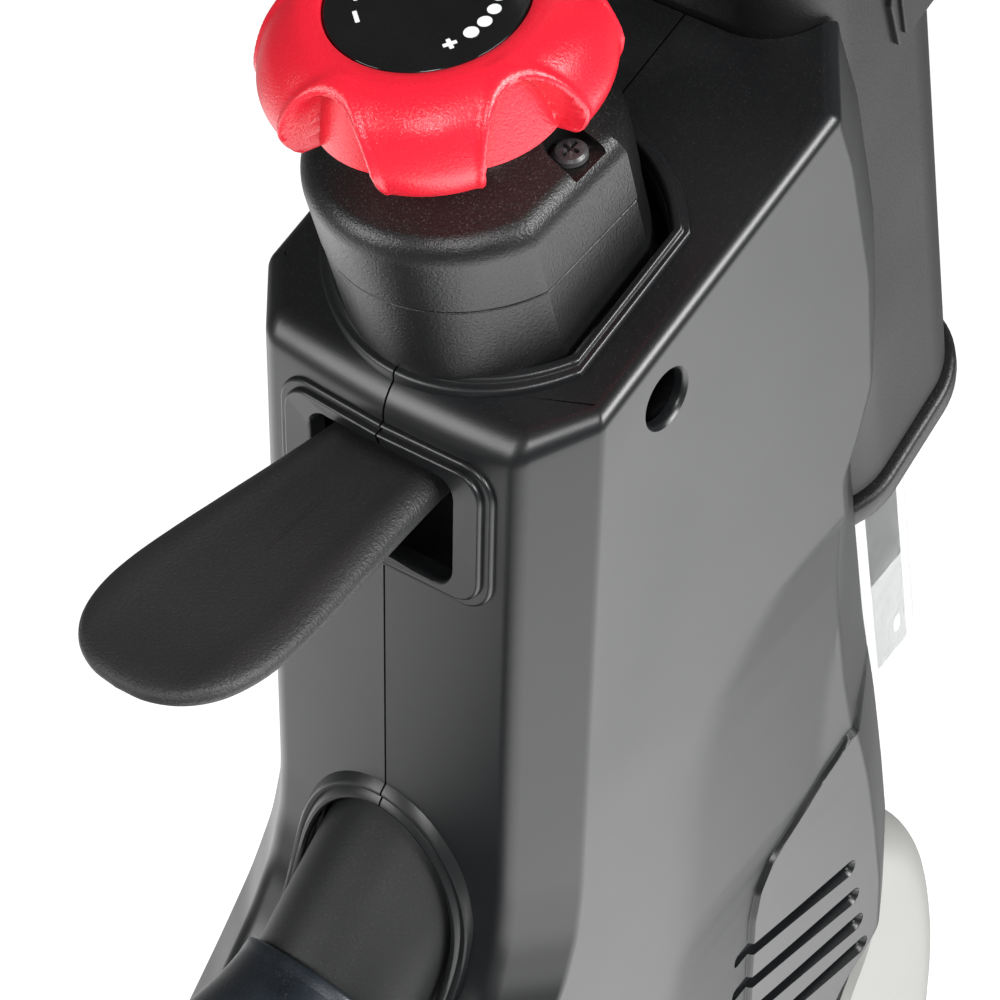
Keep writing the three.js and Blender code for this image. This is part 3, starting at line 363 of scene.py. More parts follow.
def grain_group():
    """Moulded grain: fine noise plus half-size noise gives the height, and a broad noise the cloudiness."""
    g, i, o = group("moulded_grain", {"Scale": 1500.0, "Broad Scale": 14.0}, ["Height", "Cloud"])
    where = node(g, "TexCoord").outputs["Object"]
    fine = node(g, "TexNoise", {"Vector": where, "Scale": i.outputs["Scale"], "Detail": 2.0})
    double = maths(g, "MULTIPLY", i.outputs["Scale"], 2.3)
    finer = node(g, "TexNoise", {"Vector": where, "Scale": double, "Detail": 1.0})
    height = maths(g, "MULTIPLY_ADD", finer.outputs[0], 0.5, fine.outputs[0])
    broad = node(g, "TexNoise", {"Vector": where, "Scale": i.outputs["Broad Scale"], "Detail": 3.0})
    g.links.new(height, o.inputs["Height"])
    g.links.new(broad.outputs[0], o.inputs["Cloud"])
    return g


def wear_group():
    """Edge wear: how far a point stands out from its surroundings, broken up by noise."""
    g, i, o = group("edge_wear", {"Amount": 0.5, "Scale": 60.0}, ["Mask"])
    where = node(g, "TexCoord").outputs["Object"]
    out = node(g, "NewGeometry").outputs["Pointiness"]
    edge = node(g, "MapRange", {0: out, 1: 0.52, 2: 0.62, 3: 0.0, 4: 1.0}).outputs[0]
    patch = node(g, "TexNoise", {"Vector": where, "Scale": i.outputs["Scale"], "Detail": 4.0}).outputs[0]
    patch = node(g, "MapRange", {0: patch, 1: 0.42, 2: 0.62, 3: 0.0, 4: 1.0}).outputs[0]
    mask = maths(g, "MULTIPLY", maths(g, "MULTIPLY", edge, patch), i.outputs["Amount"], clamp=True)
    g.links.new(mask, o.inputs["Mask"])
    return g


def dust_group():
    """Dust: a speckle that gathers where a surface faces up."""
    g, i, o = group("settled_dust", {"Amount": 0.1, "Scale": 2200.0}, ["Mask"])
    where = node(g, "TexCoord").outputs["Object"]
    up = node(g, "SeparateXYZ", {0: node(g, "NewGeometry").outputs["Normal"]}).outputs[2]
    up = node(g, "MapRange", {0: up, 1: 0.2, 2: 1.0, 3: 0.15, 4: 1.0}).outputs[0]
    speck = node(g, "TexNoise", {"Vector": where, "Scale": i.outputs["Scale"], "Detail": 2.0}).outputs[0]
    speck = node(g, "MapRange", {0: speck, 1: 0.6, 2: 0.72, 3: 0.0, 4: 1.0}).outputs[0]
    mask = maths(g, "MULTIPLY", maths(g, "MULTIPLY", up, speck), i.outputs["Amount"], clamp=True)
    g.links.new(mask, o.inputs["Mask"])
    return g


GRAIN, WEAR, DUST = grain_group(), wear_group(), dust_group()


def placed_group(tree, which, **values):
    made = tree.nodes.new("ShaderNodeGroup")
    made.node_tree = which
    for key, value in values.items():
        made.inputs[key.replace("_", " ")].default_value = value
    return made


def mixed(tree, factor, a, b):
    made = node(tree, "Mix", data_type="RGBA")
    for key, value in (("Factor", factor), ("A", a), ("B", b)):
        socket = [s for s in made.inputs if s.name == key and (s.type == "RGBA" or key == "Factor")][0]
        if isinstance(value, bpy.types.NodeSocket):
            tree.links.new(value, socket)
        else:
            socket.default_value = (*value, 1.0) if isinstance(value, tuple) else value
    return [s for s in made.outputs if s.type == "RGBA"][0]


def finish(
    name,
    color,
    roughness,
    metallic=0.0,
    grain=1500.0,
    depth=0.0,
    cloud=0.25,
    rough_change=0.08,
    wear=0.3,
    worn=(0.35, 0.35, 0.35),
    dust=0.05,
    broad=14.0,
    coat=0.0,
    coat_roughness=0.1,
    specular=0.5,
    extra=None,
):
    """A moulded, painted or metal finish: colour clouded by broad noise, lightened at worn edges and by settled
    dust, with roughness that follows the cloud, and a fine grain in the bump. depth is the grain's height in
    millimetres, and extra(tree, height) may change that height."""
    m = bpy.data.materials.new(name)
    m.use_nodes = True
    tree = m.node_tree
    shader = tree.nodes["Principled BSDF"]
    g = placed_group(tree, GRAIN, Scale=grain, Broad_Scale=broad)
    cloud_mask = node(tree, "MapRange", {0: g.outputs["Cloud"], 1: 0.3, 2: 0.7, 3: 0.0, 4: 1.0}).outputs[0]
    dark = tuple(c * (1 - cloud) for c in color)
    light = tuple(min(c * (1 + cloud), 1.0) for c in color)
    base = mixed(tree, cloud_mask, dark, light)
    if wear:
        base = mixed(tree, placed_group(tree, WEAR, Amount=wear).outputs["Mask"], base, worn)
    if dust:
        base = mixed(tree, placed_group(tree, DUST, Amount=dust).outputs["Mask"], base, (0.5, 0.49, 0.47))
    tree.links.new(base, shader.inputs["Base Color"])
    smooth_end, rough_end = roughness - rough_change, roughness + rough_change
    spread = node(tree, "MapRange", {0: g.outputs["Cloud"], 1: 0.3, 2: 0.7, 3: smooth_end, 4: rough_end})
    tree.links.new(spread.outputs[0], shader.inputs["Roughness"])
    shader.inputs["Metallic"].default_value = metallic
    shader.inputs["Specular IOR Level"].default_value = specular
    shader.inputs["Coat Weight"].default_value = coat
    shader.inputs["Coat Roughness"].default_value = coat_roughness
    height = g.outputs["Height"]
    if extra:
        height = extra(tree, height)
    if depth or extra:
        bump = node(tree, "Bump", {"Height": height, "Distance": (depth or 0.05) / 1000, "Strength": 1.0})
        tree.links.new(bump.outputs[0], shader.inputs["Normal"])
    return m


def brushed(axis):
    """Height lines for a brushed metal: noise stretched a hundredfold along one axis."""
    def change(tree, height):
        scale = [900.0, 900.0, 900.0]
        scale[axis] = 8.0
        where = node(tree, "TexCoord").outputs["Object"]
        turned_to = node(tree, "Mapping", {"Vector": where, "Scale": scale})
        lines = node(tree, "TexNoise", {"Vector": turned_to.outputs[0], "Scale": 1.0, "Detail": 2.0})
        return maths(tree, "MULTIPLY_ADD", height, 0.2, lines.outputs[0])
    return change


def hide_grain(tree, height):
    """Pebbled leather grain: the distance to the edges of small cells."""
    where = node(tree, "TexCoord").outputs["Object"]
    cells = node(tree, "TexVoronoi", {"Vector": where, "Scale": 520.0}, feature="DISTANCE_TO_EDGE")
    plateau = node(tree, "MapRange", {0: cells.outputs[0], 1: 0.0, 2: 0.25, 3: 0.0, 4: 1.0}).outputs[0]
    return maths(tree, "MULTIPLY_ADD", height, 0.35, plateau)


FINISHES = {
    "shell": finish(
        "charcoal_shell", (0.0062, 0.0067, 0.0074), 0.34, grain=2600, depth=0.012, cloud=0.08,
        rough_change=0.03, wear=0.04, worn=(0.12, 0.12, 0.125), dust=0.04,
    ),
    "textured_black": finish(
        "textured_black", (0.0058, 0.006, 0.006), 0.36, grain=1500, depth=0.1, cloud=0.15, wear=0.06,
        worn=(0.1, 0.1, 0.1), dust=0.1,
    ),
    "sleeve": finish(
        "sleeve_powder_coat", (0.007, 0.007, 0.007), 0.5, specular=0.4, grain=1200, depth=0.06, cloud=0.12,
        wear=0.05, worn=(0.15, 0.15, 0.15), dust=0.06,
    ),
    "red": finish(
        "red_knob", (0.72, 0.012, 0.03), 0.24, grain=1700, depth=0.1, cloud=0.05, rough_change=0.05,
        wear=0.05, worn=(0.95, 0.25, 0.28), dust=0.03,
    ),
    "dial": finish(
        "gloss_dial", (0.006, 0.006, 0.0065), 0.12, grain=300, depth=0.0, cloud=0.2, rough_change=0.08,
        wear=0.0, dust=0.012, broad=60,
    ),
    "mark": finish("dial_print", (0.82, 0.83, 0.82), 0.5, cloud=0.04, wear=0.0, dust=0.0),
    "paddle": finish(
        "paddle_grain", (0.0125, 0.0128, 0.0132), 0.5, grain=1400, depth=0.16, cloud=0.12, wear=0.08,
        worn=(0.1, 0.1, 0.1), dust=0.02,
    ),
    "stub": finish(
        "stub_coat", (0.0075, 0.008, 0.0084), 0.55, specular=0.35, grain=1500, depth=0.06, cloud=0.12,
        wear=0.05, worn=(0.12, 0.12, 0.12), dust=0.05,
    ),
    "beam": finish(
        "blue_black_powder_coat", (0.011, 0.0145, 0.019), 0.36, grain=1100, depth=0.05, cloud=0.55,
        rough_change=0.1, wear=0.1, worn=(0.12, 0.13, 0.15), dust=0.05, broad=45,
    ),
    "dark_steel": finish(
        "black_painted_steel", (0.02, 0.021, 0.023), 0.36, grain=1300, depth=0.03, cloud=0.2, wear=0.3,
        worn=(0.3, 0.3, 0.3), dust=0.05,
    ),
    "steel": finish(
        "turned_steel", (0.5, 0.51, 0.52), 0.3, metallic=1.0, cloud=0.1, wear=0.2, worn=(0.8, 0.8, 0.8),
        dust=0.03, depth=0.01, extra=brushed(0),
    ),
    "magnet": finish(
        "nickel_magnet", (0.62, 0.61, 0.58), 0.22, metallic=1.0, cloud=0.06, wear=0.1, worn=(0.8, 0.8, 0.8),
        dust=0.02, depth=0.01,
    ),
    "aluminium": finish(
        "satin_aluminium", (0.5, 0.51, 0.51), 0.6, specular=0.2, cloud=0.03, rough_change=0.04, wear=0.0,
        dust=0.02, depth=0.006, extra=brushed(2),
    ),
    "hood": finish(
        "pale_cowl", (0.27, 0.272, 0.258), 0.38, grain=1800, depth=0.012, cloud=0.03, rough_change=0.04,
        wear=0.0, dust=0.03,
    ),
    "rubber": finish(
        "black_rubber", (0.014, 0.014, 0.0145), 0.72, grain=900, depth=0.08, cloud=0.2, wear=0.1,
        worn=(0.08, 0.08, 0.08), dust=0.2,
    ),
    "saddle_cover": finish(
        "saddle_hide", (0.016, 0.016, 0.0165), 0.46, grain=1800, depth=0.16, cloud=0.15, wear=0.1,
        worn=(0.07, 0.07, 0.07), dust=0.12, extra=hide_grain,
    ),
}

# ---------------------------------------------------------------- control tower shells
fine_z = np.arange(-352.0, 90.0, 1.0)


def eased(levels, spread=13):
    """Heights and depths joined by straight lines, then averaged over a short window."""
    z, y = np.array(levels, float).T
    order = np.argsort(z)
    line = np.interp(fine_z, z[order], y[order])
    window = np.hanning(spread + 2)[1:-1]
    padded = np.pad(line, spread // 2, mode="edge")
    return np.convolve(padded, window / window.sum(), "valid")


RIDER = eased([
    (-352, -117), (-340, -112), (-300, -111), (-276, -104), (-244, -80), (-215, -53), (-194, -33), (-178, -19),
    (-164, -10), (-150, -5.5), (-135, -3.84), (-110, -3.13), (-87, -2.48), (-38, -1.08), (25, 0.71), (90, 2.6),
])
FRONT = eased([
    (-352, 100), (-340, 110), (-300, 136), (-288, 143), (-276, 159), (-253, 157), (-228, 151.5), (-193, 143),
    (-160, 133.8), (-124, 125.7), (-100, 120.5), (-87, 117.5), (-75, 115), (-64, 120), (-50, 124), (-16, 118.6),
    (22, 107), (44, 96.9), (69, 92.7), (90, 60),
], 9)
SCOOP_START = np.array([
    (-352, 36), (-300, 42), (-240, 45.5), (-198, 46.4), (-178, 46.4), (-153, 47.1), (-131, 50), (-115, 56),
    (-104, 67.5), (-94, 81), (-90, 98), (-87, 118), (-80, 160),
])
FLANK_START = np.array([
    (-352, 100.0), (-300, 95.5), (-242, 93), (-221, 92.6), (-211, 94.5), (-202, 100.6), (-196, 111.6),
    (-189, 122.6), (-183, 135), (-176, 160), (-160, 200), (-80, 400),
])
FLANK_START[:, 1] += 2.5
# the side's columns crowd round the flank's line: this share of them lies before it, and the rest spread out after
CREASE_COLUMNS, CREASE_SPREAD = 0.6, 1.7
CREASE_RANGE = (0.3, 0.985)  # where along the side the line may lie
FACE_CROWN = 0.225  # how far the rider's face bulges between its edges
SCOOP_DEPTH = 5.4
SCOOP_EASE = 0.22  # share of the scoop's width over which its slope grows


def side_depth(y, z):
    """How far the tower's side is hollowed at (y, z). From the scoop's line the slope grows evenly, u^2, and then
    stays the same; past the flank's line the side stands proud again by a short step and runs on level."""
    start = np.interp(z, *SCOOP_START.T)
    flank = np.interp(z, *FLANK_START.T)
    u = np.clip((y - start) / np.clip(flank - start, 20, 78), 0, 1)
    k = SCOOP_EASE
    hollow = SCOOP_DEPTH * np.where(u < k, u * u / (2 * k), u - k / 2) / (1 - k / 2)
    proud = ramp((y - flank) / 1.0)
    level = 3.9 - 0.045 * (y - flank)
    return np.where(y > start - 2, hollow * (1 - proud) + np.maximum(level, 0.4) * proud, 0)


RUNS = [("run", 0, 9), ("arc", 1, 9), ("run", 1, 4), ("arc", 2, 7), ("run", 2, 74), ("arc", 3, 8),
        ("run", 3, 5), ("arc", 4, 7), ("run", 4, 5)]
CORNER_RADIUS = [0, 7.0, 3.2, 4.5, 10.0, 0]
TOP_RADIUS = [6.5, 5.5, 4.2, 4.0, 4.2, 4.2, 4.2, 4.2, 4.2]


def corner(k, z, inset):
    """Corner k of the half outline at each height: seam, face edge, facet edge, forward edge, nose, rear seam."""
    c = 0.4 * inset
    rider, front = np.interp(z, fine_z, RIDER), np.interp(z, fine_z, FRONT)
    x, y = [
        (0, rider + inset),
        (FACE_HALF - c, rider + FACE_BULGE + inset),
        (HALF - inset, rider + FACET_DEPTH + c),
        (HALF - inset, front - c),
        (HALF - NOSE_INSET - c, front + NOSE_DEPTH - inset),
        (0, front + NOSE_DEPTH - inset),
    ][k]
    return np.stack([np.broadcast_to(float(x), z.shape), y], -1)


def arc_point(k, z, f, inset):
    """A point at fraction f round corner k's arc, and its outward normal."""
    if CORNER_RADIUS[k] == 0:
        p = corner(k, z, inset)
        q = corner(1 if k == 0 else k - 1, z, inset)
        run = unit(q - p) * (1 if k == 0 else -1)
        return p, np.stack([run[..., 1], -run[..., 0]], -1)
    radius = max(CORNER_RADIUS[k] - inset, 0.8)
    a, b, c = (corner(k + d, z, inset) for d in (-1, 0, 1))
    e1, e2 = unit(a - b), unit(c - b)
    half = np.arccos(np.clip((e1 * e2).sum(-1, keepdims=True), -1, 1)) / 2
    centre = b + unit(e1 + e2) * radius / np.sin(half)
    reach = radius / np.tan(half)
    n1, n2 = (b + e1 * reach - centre) / radius, (b + e2 * reach - centre) / radius
    turn = pi - 2 * half
    f = f[..., None]
    n = (np.sin((1 - f) * turn) * n1 + np.sin(f * turn) * n2) / np.sin(turn)
    return centre + radius * n, n


def section(z, inset):
    """The half outline at heights z[level, column]: straight runs between the corners' arcs, the face slightly
    convex, and the side hollowed by side_depth in proportion to how far out it stands."""
    points, normals, at = np.empty(z.shape + (2,)), np.empty(z.shape + (2,)), 0
    for kind, k, count in RUNS:
        cols = slice(at, at + count)
        zz = z[:, cols]
        if kind == "arc":
            f = np.broadcast_to(np.linspace(0, 1, count), zz.shape)
            points[:, cols], normals[:, cols] = arc_point(k, zz, f, inset)
        else:
            f = np.linspace(0, 1, count + 2)[1:-1]
            if k == 0:
                f = np.linspace(0, 1, count + 1)[:-1]
            if k == 4:
                f = np.linspace(0, 1, count + 1)[1:]
            f = np.broadcast_to(f, zz.shape)
            p, n = arc_point(k, zz, np.ones_like(f), inset)
            q, _ = arc_point(k + 1, zz, np.zeros_like(f), inset)
            if k == 2:
                crease = (np.interp(zz, *FLANK_START.T) - p[..., 1]) / (q[..., 1] - p[..., 1])
                crease = np.clip(crease, *CREASE_RANGE)
                before = f / CREASE_COLUMNS
                after = np.clip((f - CREASE_COLUMNS) / (1 - CREASE_COLUMNS), 0, 1)
                f = np.where(before < 1, crease * before, crease + (1 - crease) * after**CREASE_SPREAD)
            points[:, cols] = p + (q - p) * f[..., None]
            normals[:, cols] = n if k else unit(np.stack([0.06 * f, -np.ones_like(f)], -1))
            if k == 0:
                points[:, cols, 1] -= FACE_CROWN * 4 * f * (1 - f)
        at += count
    out = np.clip((points[..., 0] - (HALF - NOSE_INSET)) / (NOSE_INSET - inset), 0, 1)
    if inset:
        clear = ramp((points[..., 1] - 40) / 40) * ramp((-60 - z) / 40)
        points[..., 0] -= (SCOOP_DEPTH + 0.6) * clear * out
    else:
        points[..., 0] -= side_depth(points[..., 1], z) * out
    points[..., 0] = np.maximum(points[..., 0], SEAM)
    return points, normals


def tower(inset, bottom, levels=260):
    """Closed half of the tower as a grid: rings from the bottom to just under the sloped top, then a rounded
    rim. At angle t round the rim a point is drawn in by r(1 - cos t) and stands r(1 - sin t) below the top."""
    columns = sum(count for _, _, count in RUNS)
    radius = np.repeat(TOP_RADIUS, [count for _, _, count in RUNS])
    radius = np.convolve(np.pad(radius, 4, mode="edge"), np.ones(9) / 9, "valid")
    radius = np.maximum(radius - inset, 0.8)
    drop = inset / cos(radians(TOP_SLOPE))
    top = np.full((1, columns), 20.0)
    for _ in range(40):
        p, _ = section(top, inset)
        top = p[..., 1] * SLOPE - drop
    share = np.linspace(0, 1, levels)[:, None]
    z = bottom + (top - radius - bottom) * share
    plan, _ = section(z, inset)
    rings = [np.concatenate([plan, z[..., None]], -1)]
    for t in np.radians(np.linspace(0, 90, 9))[1:]:
        p, n = section(top - radius * (1 - sin(t)), inset)
        q = p - n * (radius * (1 - cos(t)))[..., None]
        q[..., 0] = np.maximum(q[..., 0], SEAM)
        height = q[..., 1] * SLOPE - drop - radius * (1 - sin(t))
        rings.append(np.concatenate([q, height[..., None]], -1))
    return np.concatenate(rings)


def above_top(points):
    """Points (x, y, height) measured from the sloped top, straight up."""
    x, y, h = np.moveaxis(points, -1, 0)
    return np.stack([x, y, y * SLOPE + h], -1)


def block(low, high):
    (x0, y0, z0), (x1, y1, z1) = low, high
    ring = np.array([(x0, y0), (x1, y0), (x1, y1), (x0, y1)], float)
    return skin(np.stack([np.c_[ring, np.full(4, z)] for z in (z0, z1)]))


def solid(grid, name="solid", ends="cap"):
    return mesh(name, *skin(grid, ends=ends))


# The lip round the pedestal: an outer step, a groove line and a higher inner ring.
LIP = flattened(47.0, 37.0, 50.5, 30.5, 44)
lip_profile = [
    (0.0, -4.0), *rim(0.8, 0.9, 0.8, 0, 90, 5), (1.5, 1.75), (1.75, 1.95), *rim(2.5, 2.3, 0.7, 10, 90, 5),
    *rim(3.4, 2.3, 0.7, 90, 180, 5), (4.2, -4.0),
]
# Bezel round the lever's slot and the collar round the stub.
slot_u, slot_top, slot_bottom = SLOT
slot_middle, slot_half = (slot_top + slot_bottom) / 2, (slot_top - slot_bottom) / 2
bezel_low = rectangle(30.6, slot_half + 5.2, 8.5, 0, slot_middle + 0.4, run=14)
bezel_high = rectangle(28.2, slot_half + 3.2, 7.0, 0, slot_middle + 0.6, run=14)
slot_mouth = rectangle(slot_u, slot_half, 5.0, 0, slot_middle, run=2)


def stub_axis(y):
    return np.stack([np.zeros_like(y), y, STUB_Z + tan(radians(STUB_DIP)) * (y + 4)], -1)


STUB_ALONG = np.array([0, -cos(radians(STUB_DIP)), -sin(radians(STUB_DIP))])
STUB_UP = np.array([0, -sin(radians(STUB_DIP)), cos(radians(STUB_DIP))])


def collar():
    """A stepped ring where the stub leaves the face. For each angle round the stub the face is found by halving
    the distance along it, and the ring's profile of (radius, height along the stub) is set there."""
    t = np.linspace(0, 2 * pi, 96, endpoint=False)
    radial = np.sin(t)[:, None] * np.array([1.0, 0, 0]) + np.cos(t)[:, None] * STUB_UP
    origin = np.array([0, -4.0, STUB_Z])
    near, far = np.full(96, -60.0), np.full(96, 110.0)
    for _ in range(40):
        middle = (near + far) / 2
        p = origin + radial * 26.0 + STUB_ALONG * middle[:, None]
        inside = p[:, 1] > np.interp(p[:, 2], fine_z, RIDER)
        near, far = np.where(inside, middle, near), np.where(inside, far, middle)
    face = np.minimum((near + far) / 2, 46)
    face = np.convolve(np.r_[face[-4:], face, face[:4]], np.hanning(11)[1:-1] / 5, "valid")
    profile = [(28.2, -7), (28.0, 0.2), (27.6, 1.0), (26.9, 1.3), (26.3, 1.2), (26.1, 2.4), (25.7, 3.4),
               (25.0, 3.8), (24.3, 3.5), (23.9, 2.6), (23.8, -7)]
    rings = [origin + radial * r + STUB_ALONG * (face + a)[:, None] for r, a in profile]
    return mesh("collar", *skin(np.stack(rings), ends="join"))


def vent(row):
    """One of four slots low on the flank: a round-ended outline with a flared mouth, cut inward."""
    rear = [(88, -229.5), (88, -243.5), (88, -257.0), (89, -270.5)][row]
    front = [(141.5, -233.5), (145, -247.8), (148.5, -261.3), (152, -274.0)][row]
    (y0, z0), (y1, z1) = rear, front
    outline = rounded([(y0, z0 - 4.6), (y1, z1 - 4.2), (y1, z1), (y0, z0)], [1.9, 1.9, 1.9, 1.9], 6, 6)
    grid = carried(outline, [(0.1, 34.0), (0.0, 43.5), (-0.35, 44.6), (-1.2, 45.8), (-2.4, 52.0)])
    return solid(on_side(grid))


def shell_mesh(mirror):
    """One moulded half: the closed tower joined with lip, bezel and collar, hollowed, then opened for the
    pedestal, the slot, the screw, the vents, the stub and beam, the sleeve and the flywheel hood."""
    body = solid(tower(0.0, -340.0))
    screw_well = [(6.7, 30), (6.8, 46.2), (7.1, 47.0), (7.9, 47.7), (9, 52)]
    parts = [
        ("UNION", solid(above_top(carried(LIP, lip_profile)), ends="join")),
        ("UNION", solid(on_face(slab(bezel_low, -2.0, 1.3, 0, 0.9)))),
        ("UNION", solid(on_face(slab(bezel_high, -2.0, 2.6, 0, 0.8)))),
        ("UNION", collar()),
        ("DIFFERENCE", mesh("hollow", *skin(tower(WALL, -360.0, 90)))),
        ("DIFFERENCE", solid(above_top(slab(flattened(42.8, 32.8, 50.5, 30.5, 44), -26, 40)))),
        ("DIFFERENCE", solid(on_face(carried(slot_mouth, [
            (0.4, -16), (0, 1.2), (-0.15, 1.9), (-0.6, 2.45), (-1.4, 2.75), (-1.6, 6)])))),
        ("DIFFERENCE", solid(on_side(turned_at(screw_well, *SCREW)))),
        ("DIFFERENCE", solid(bar(stub_axis(np.array(50.0)), stub_axis(np.array(-90.0)), 23.7))),
        ("DIFFERENCE", solid(bar((0, -20, BEAM_Z), (0, -200, BEAM_Z), 26.6))),
        ("DIFFERENCE", solid(on_post(slab(rectangle(32.2, 31.9, 20), -70, 280)))),
        ("DIFFERENCE", solid(on_post(slab(rectangle(35.2, 34.9, 23), -40, 30)))),
        ("DIFFERENCE", mesh("hood_room", *block((-33, 60, -600), (33, 260, -264)))),
        *[("DIFFERENCE", vent(i)) for i in range(4)],
        ("DIFFERENCE", mesh("other_half", *block((-90, -300, -500), (SEAM, 400, 300)))),
    ]
    made = carved(body, *parts)
    if mirror:
        flip(made)
    return made


def turned_at(profile, y, z):
    """A turned solid whose axis runs along X through (y, z), as (y, z, x) points."""
    return turned(profile, 40) + np.array([y, z, 0.0])


def flip(data):
    """Mirrors a mesh in X and turns its faces over again."""
    co = np.empty(len(data.vertices) * 3, np.float32)
    data.vertices.foreach_get("co", co)
    co[::3] *= -1
    data.vertices.foreach_set("co", co)
    data.flip_normals()
    data.update()


beam_low, beam_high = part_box("top_beam")
BEAM_Z = ((beam_low.z + beam_high.z) / 2 - DATUM[2]) * 1000
right_shell = shell_mesh(False)
left_shell = right_shell.copy()
flip(left_shell)
for side, data in (("right", right_shell), ("left", left_shell)):
    piece(f"moulded_shell_{side}", data, "shell", "frame", f"tower_shell_{side}", sharp=32, even=True)


# ---------------------------------------------------------------- pedestal under the knob
def screw(x, v, at, radius, height):
    """A pan-head screw at (x, v): a stepped, domed disc of revolution with two crossed bars cut from its top."""
    head = turned([(0.01, 0.0), (radius, 0.0), (radius, height * 0.55), (radius * 0.86, height * 0.85),
                   (radius * 0.5, height), (0.01, height)], 32)
    data = solid(at(head + np.array([x, v, 0.0])))
    arms = []
    for long_u, long_v in ((0.62, 0.14), (0.14, 0.62)):
        outline = rectangle(radius * long_u, radius * long_v, radius * 0.1, x, v, 3)
        cross = slab(outline, height * 0.45, height + 2)
        arms.append(("DIFFERENCE", solid(at(cross))))
    return carved(data, *arms)


PEDESTAL = flattened(34.6, 31.4, 4.6, 6.5, 44)
SPLIT = -57.0
FOOT = -97.0
EXTRA_LEAN = tan(radians(4.0))


def on_pedestal(points):
    """The knob's axis frame, sheared a little more to the rider from the foot upwards."""
    u, v, w = np.moveaxis(np.asarray(points, float), -1, 0)
    return on_knob(np.stack([u, v - EXTRA_LEAN * (w - FOOT), w], -1))


base = slab(PEDESTAL, FOOT, SPLIT - 0.35, 0.3, 0.45)
base[..., :2] *= 0.994
base_room = solid(on_pedestal(slab(circle(24.0), FOOT - 4, SPLIT - 5)))
base = carved(solid(on_pedestal(base)), ("DIFFERENCE", base_room))
piece("pedestal_base", base, "textured_black", "frame", "knob_pedestal_base", sharp=16, even=True)

cap_profile = [
    (6.0, SPLIT), *rim(0.5, SPLIT + 0.5, 0.5, -90, 0, 4), *rim(7.5, -43.6, 7.5, 2, 66, 12), (7.6, -35.6),
    (11.0, -34.2), (14.4, -32.8), (16.4, -31.4), (17.2, -29.8), (18.0, -29.2), (22, -29.0),
]
neck = turned([(0.01, -50), (16.8, -50), (16.8, -19), (15.8, -18.2), (0.01, -18.2)])
teardrop = rounded([(19.4, 3.0), (36, 1.6), (36, 12.8), (19.4, 12.8)], [4.7, 1, 1, 4.7], 8)
POCKET = -38.4
cap = carved(
    solid(on_pedestal(carried(PEDESTAL, cap_profile))),
    ("UNION", solid(on_knob(neck))),
    *[("DIFFERENCE", solid(on_knob(carried((teardrop[0] * (side, 1), teardrop[1] * (side, 1)), [
        (0.3, POCKET - 0.6), (0, POCKET), (0, POCKET + 7), (-0.8, POCKET + 9)])))) for side in (1, -1)],
    ("DIFFERENCE", solid(on_knob(slab(circle(5.7), -70, 0)))),
    ("DIFFERENCE", solid(on_knob(slab(circle(22.0), -70, -46)))),
)
piece("pedestal_cap", cap, "textured_black", "frame", "knob_pedestal_cap", sharp=16, even=True)
for side, sign in (("right", 1), ("left", -1)):
    head = screw(sign * 24.4, 7.9, lambda g: on_knob(g + np.array([0, 0, POCKET - 0.3])), 3.7, 2.2)
    piece(f"pedestal_screw_head_{side}", head, "dark_steel", "frame", f"pedestal_screw_{side}", sharp=30)
    shell_head = screw(0.0, 0.0, lambda g, s=sign: np.stack(
        [s * (36.3 + g[..., 2]), SCREW[0] + g[..., 0], SCREW[1] + g[..., 1]], -1), 5.4, 3.0)
    piece(f"shell_screw_head_{side}", shell_head, "dark_steel", "frame", f"shell_screw_{side}", sharp=30)


# ---------------------------------------------------------------- resistance knob and its dial
LOBES = 5
KNOB_LOW = -20.9


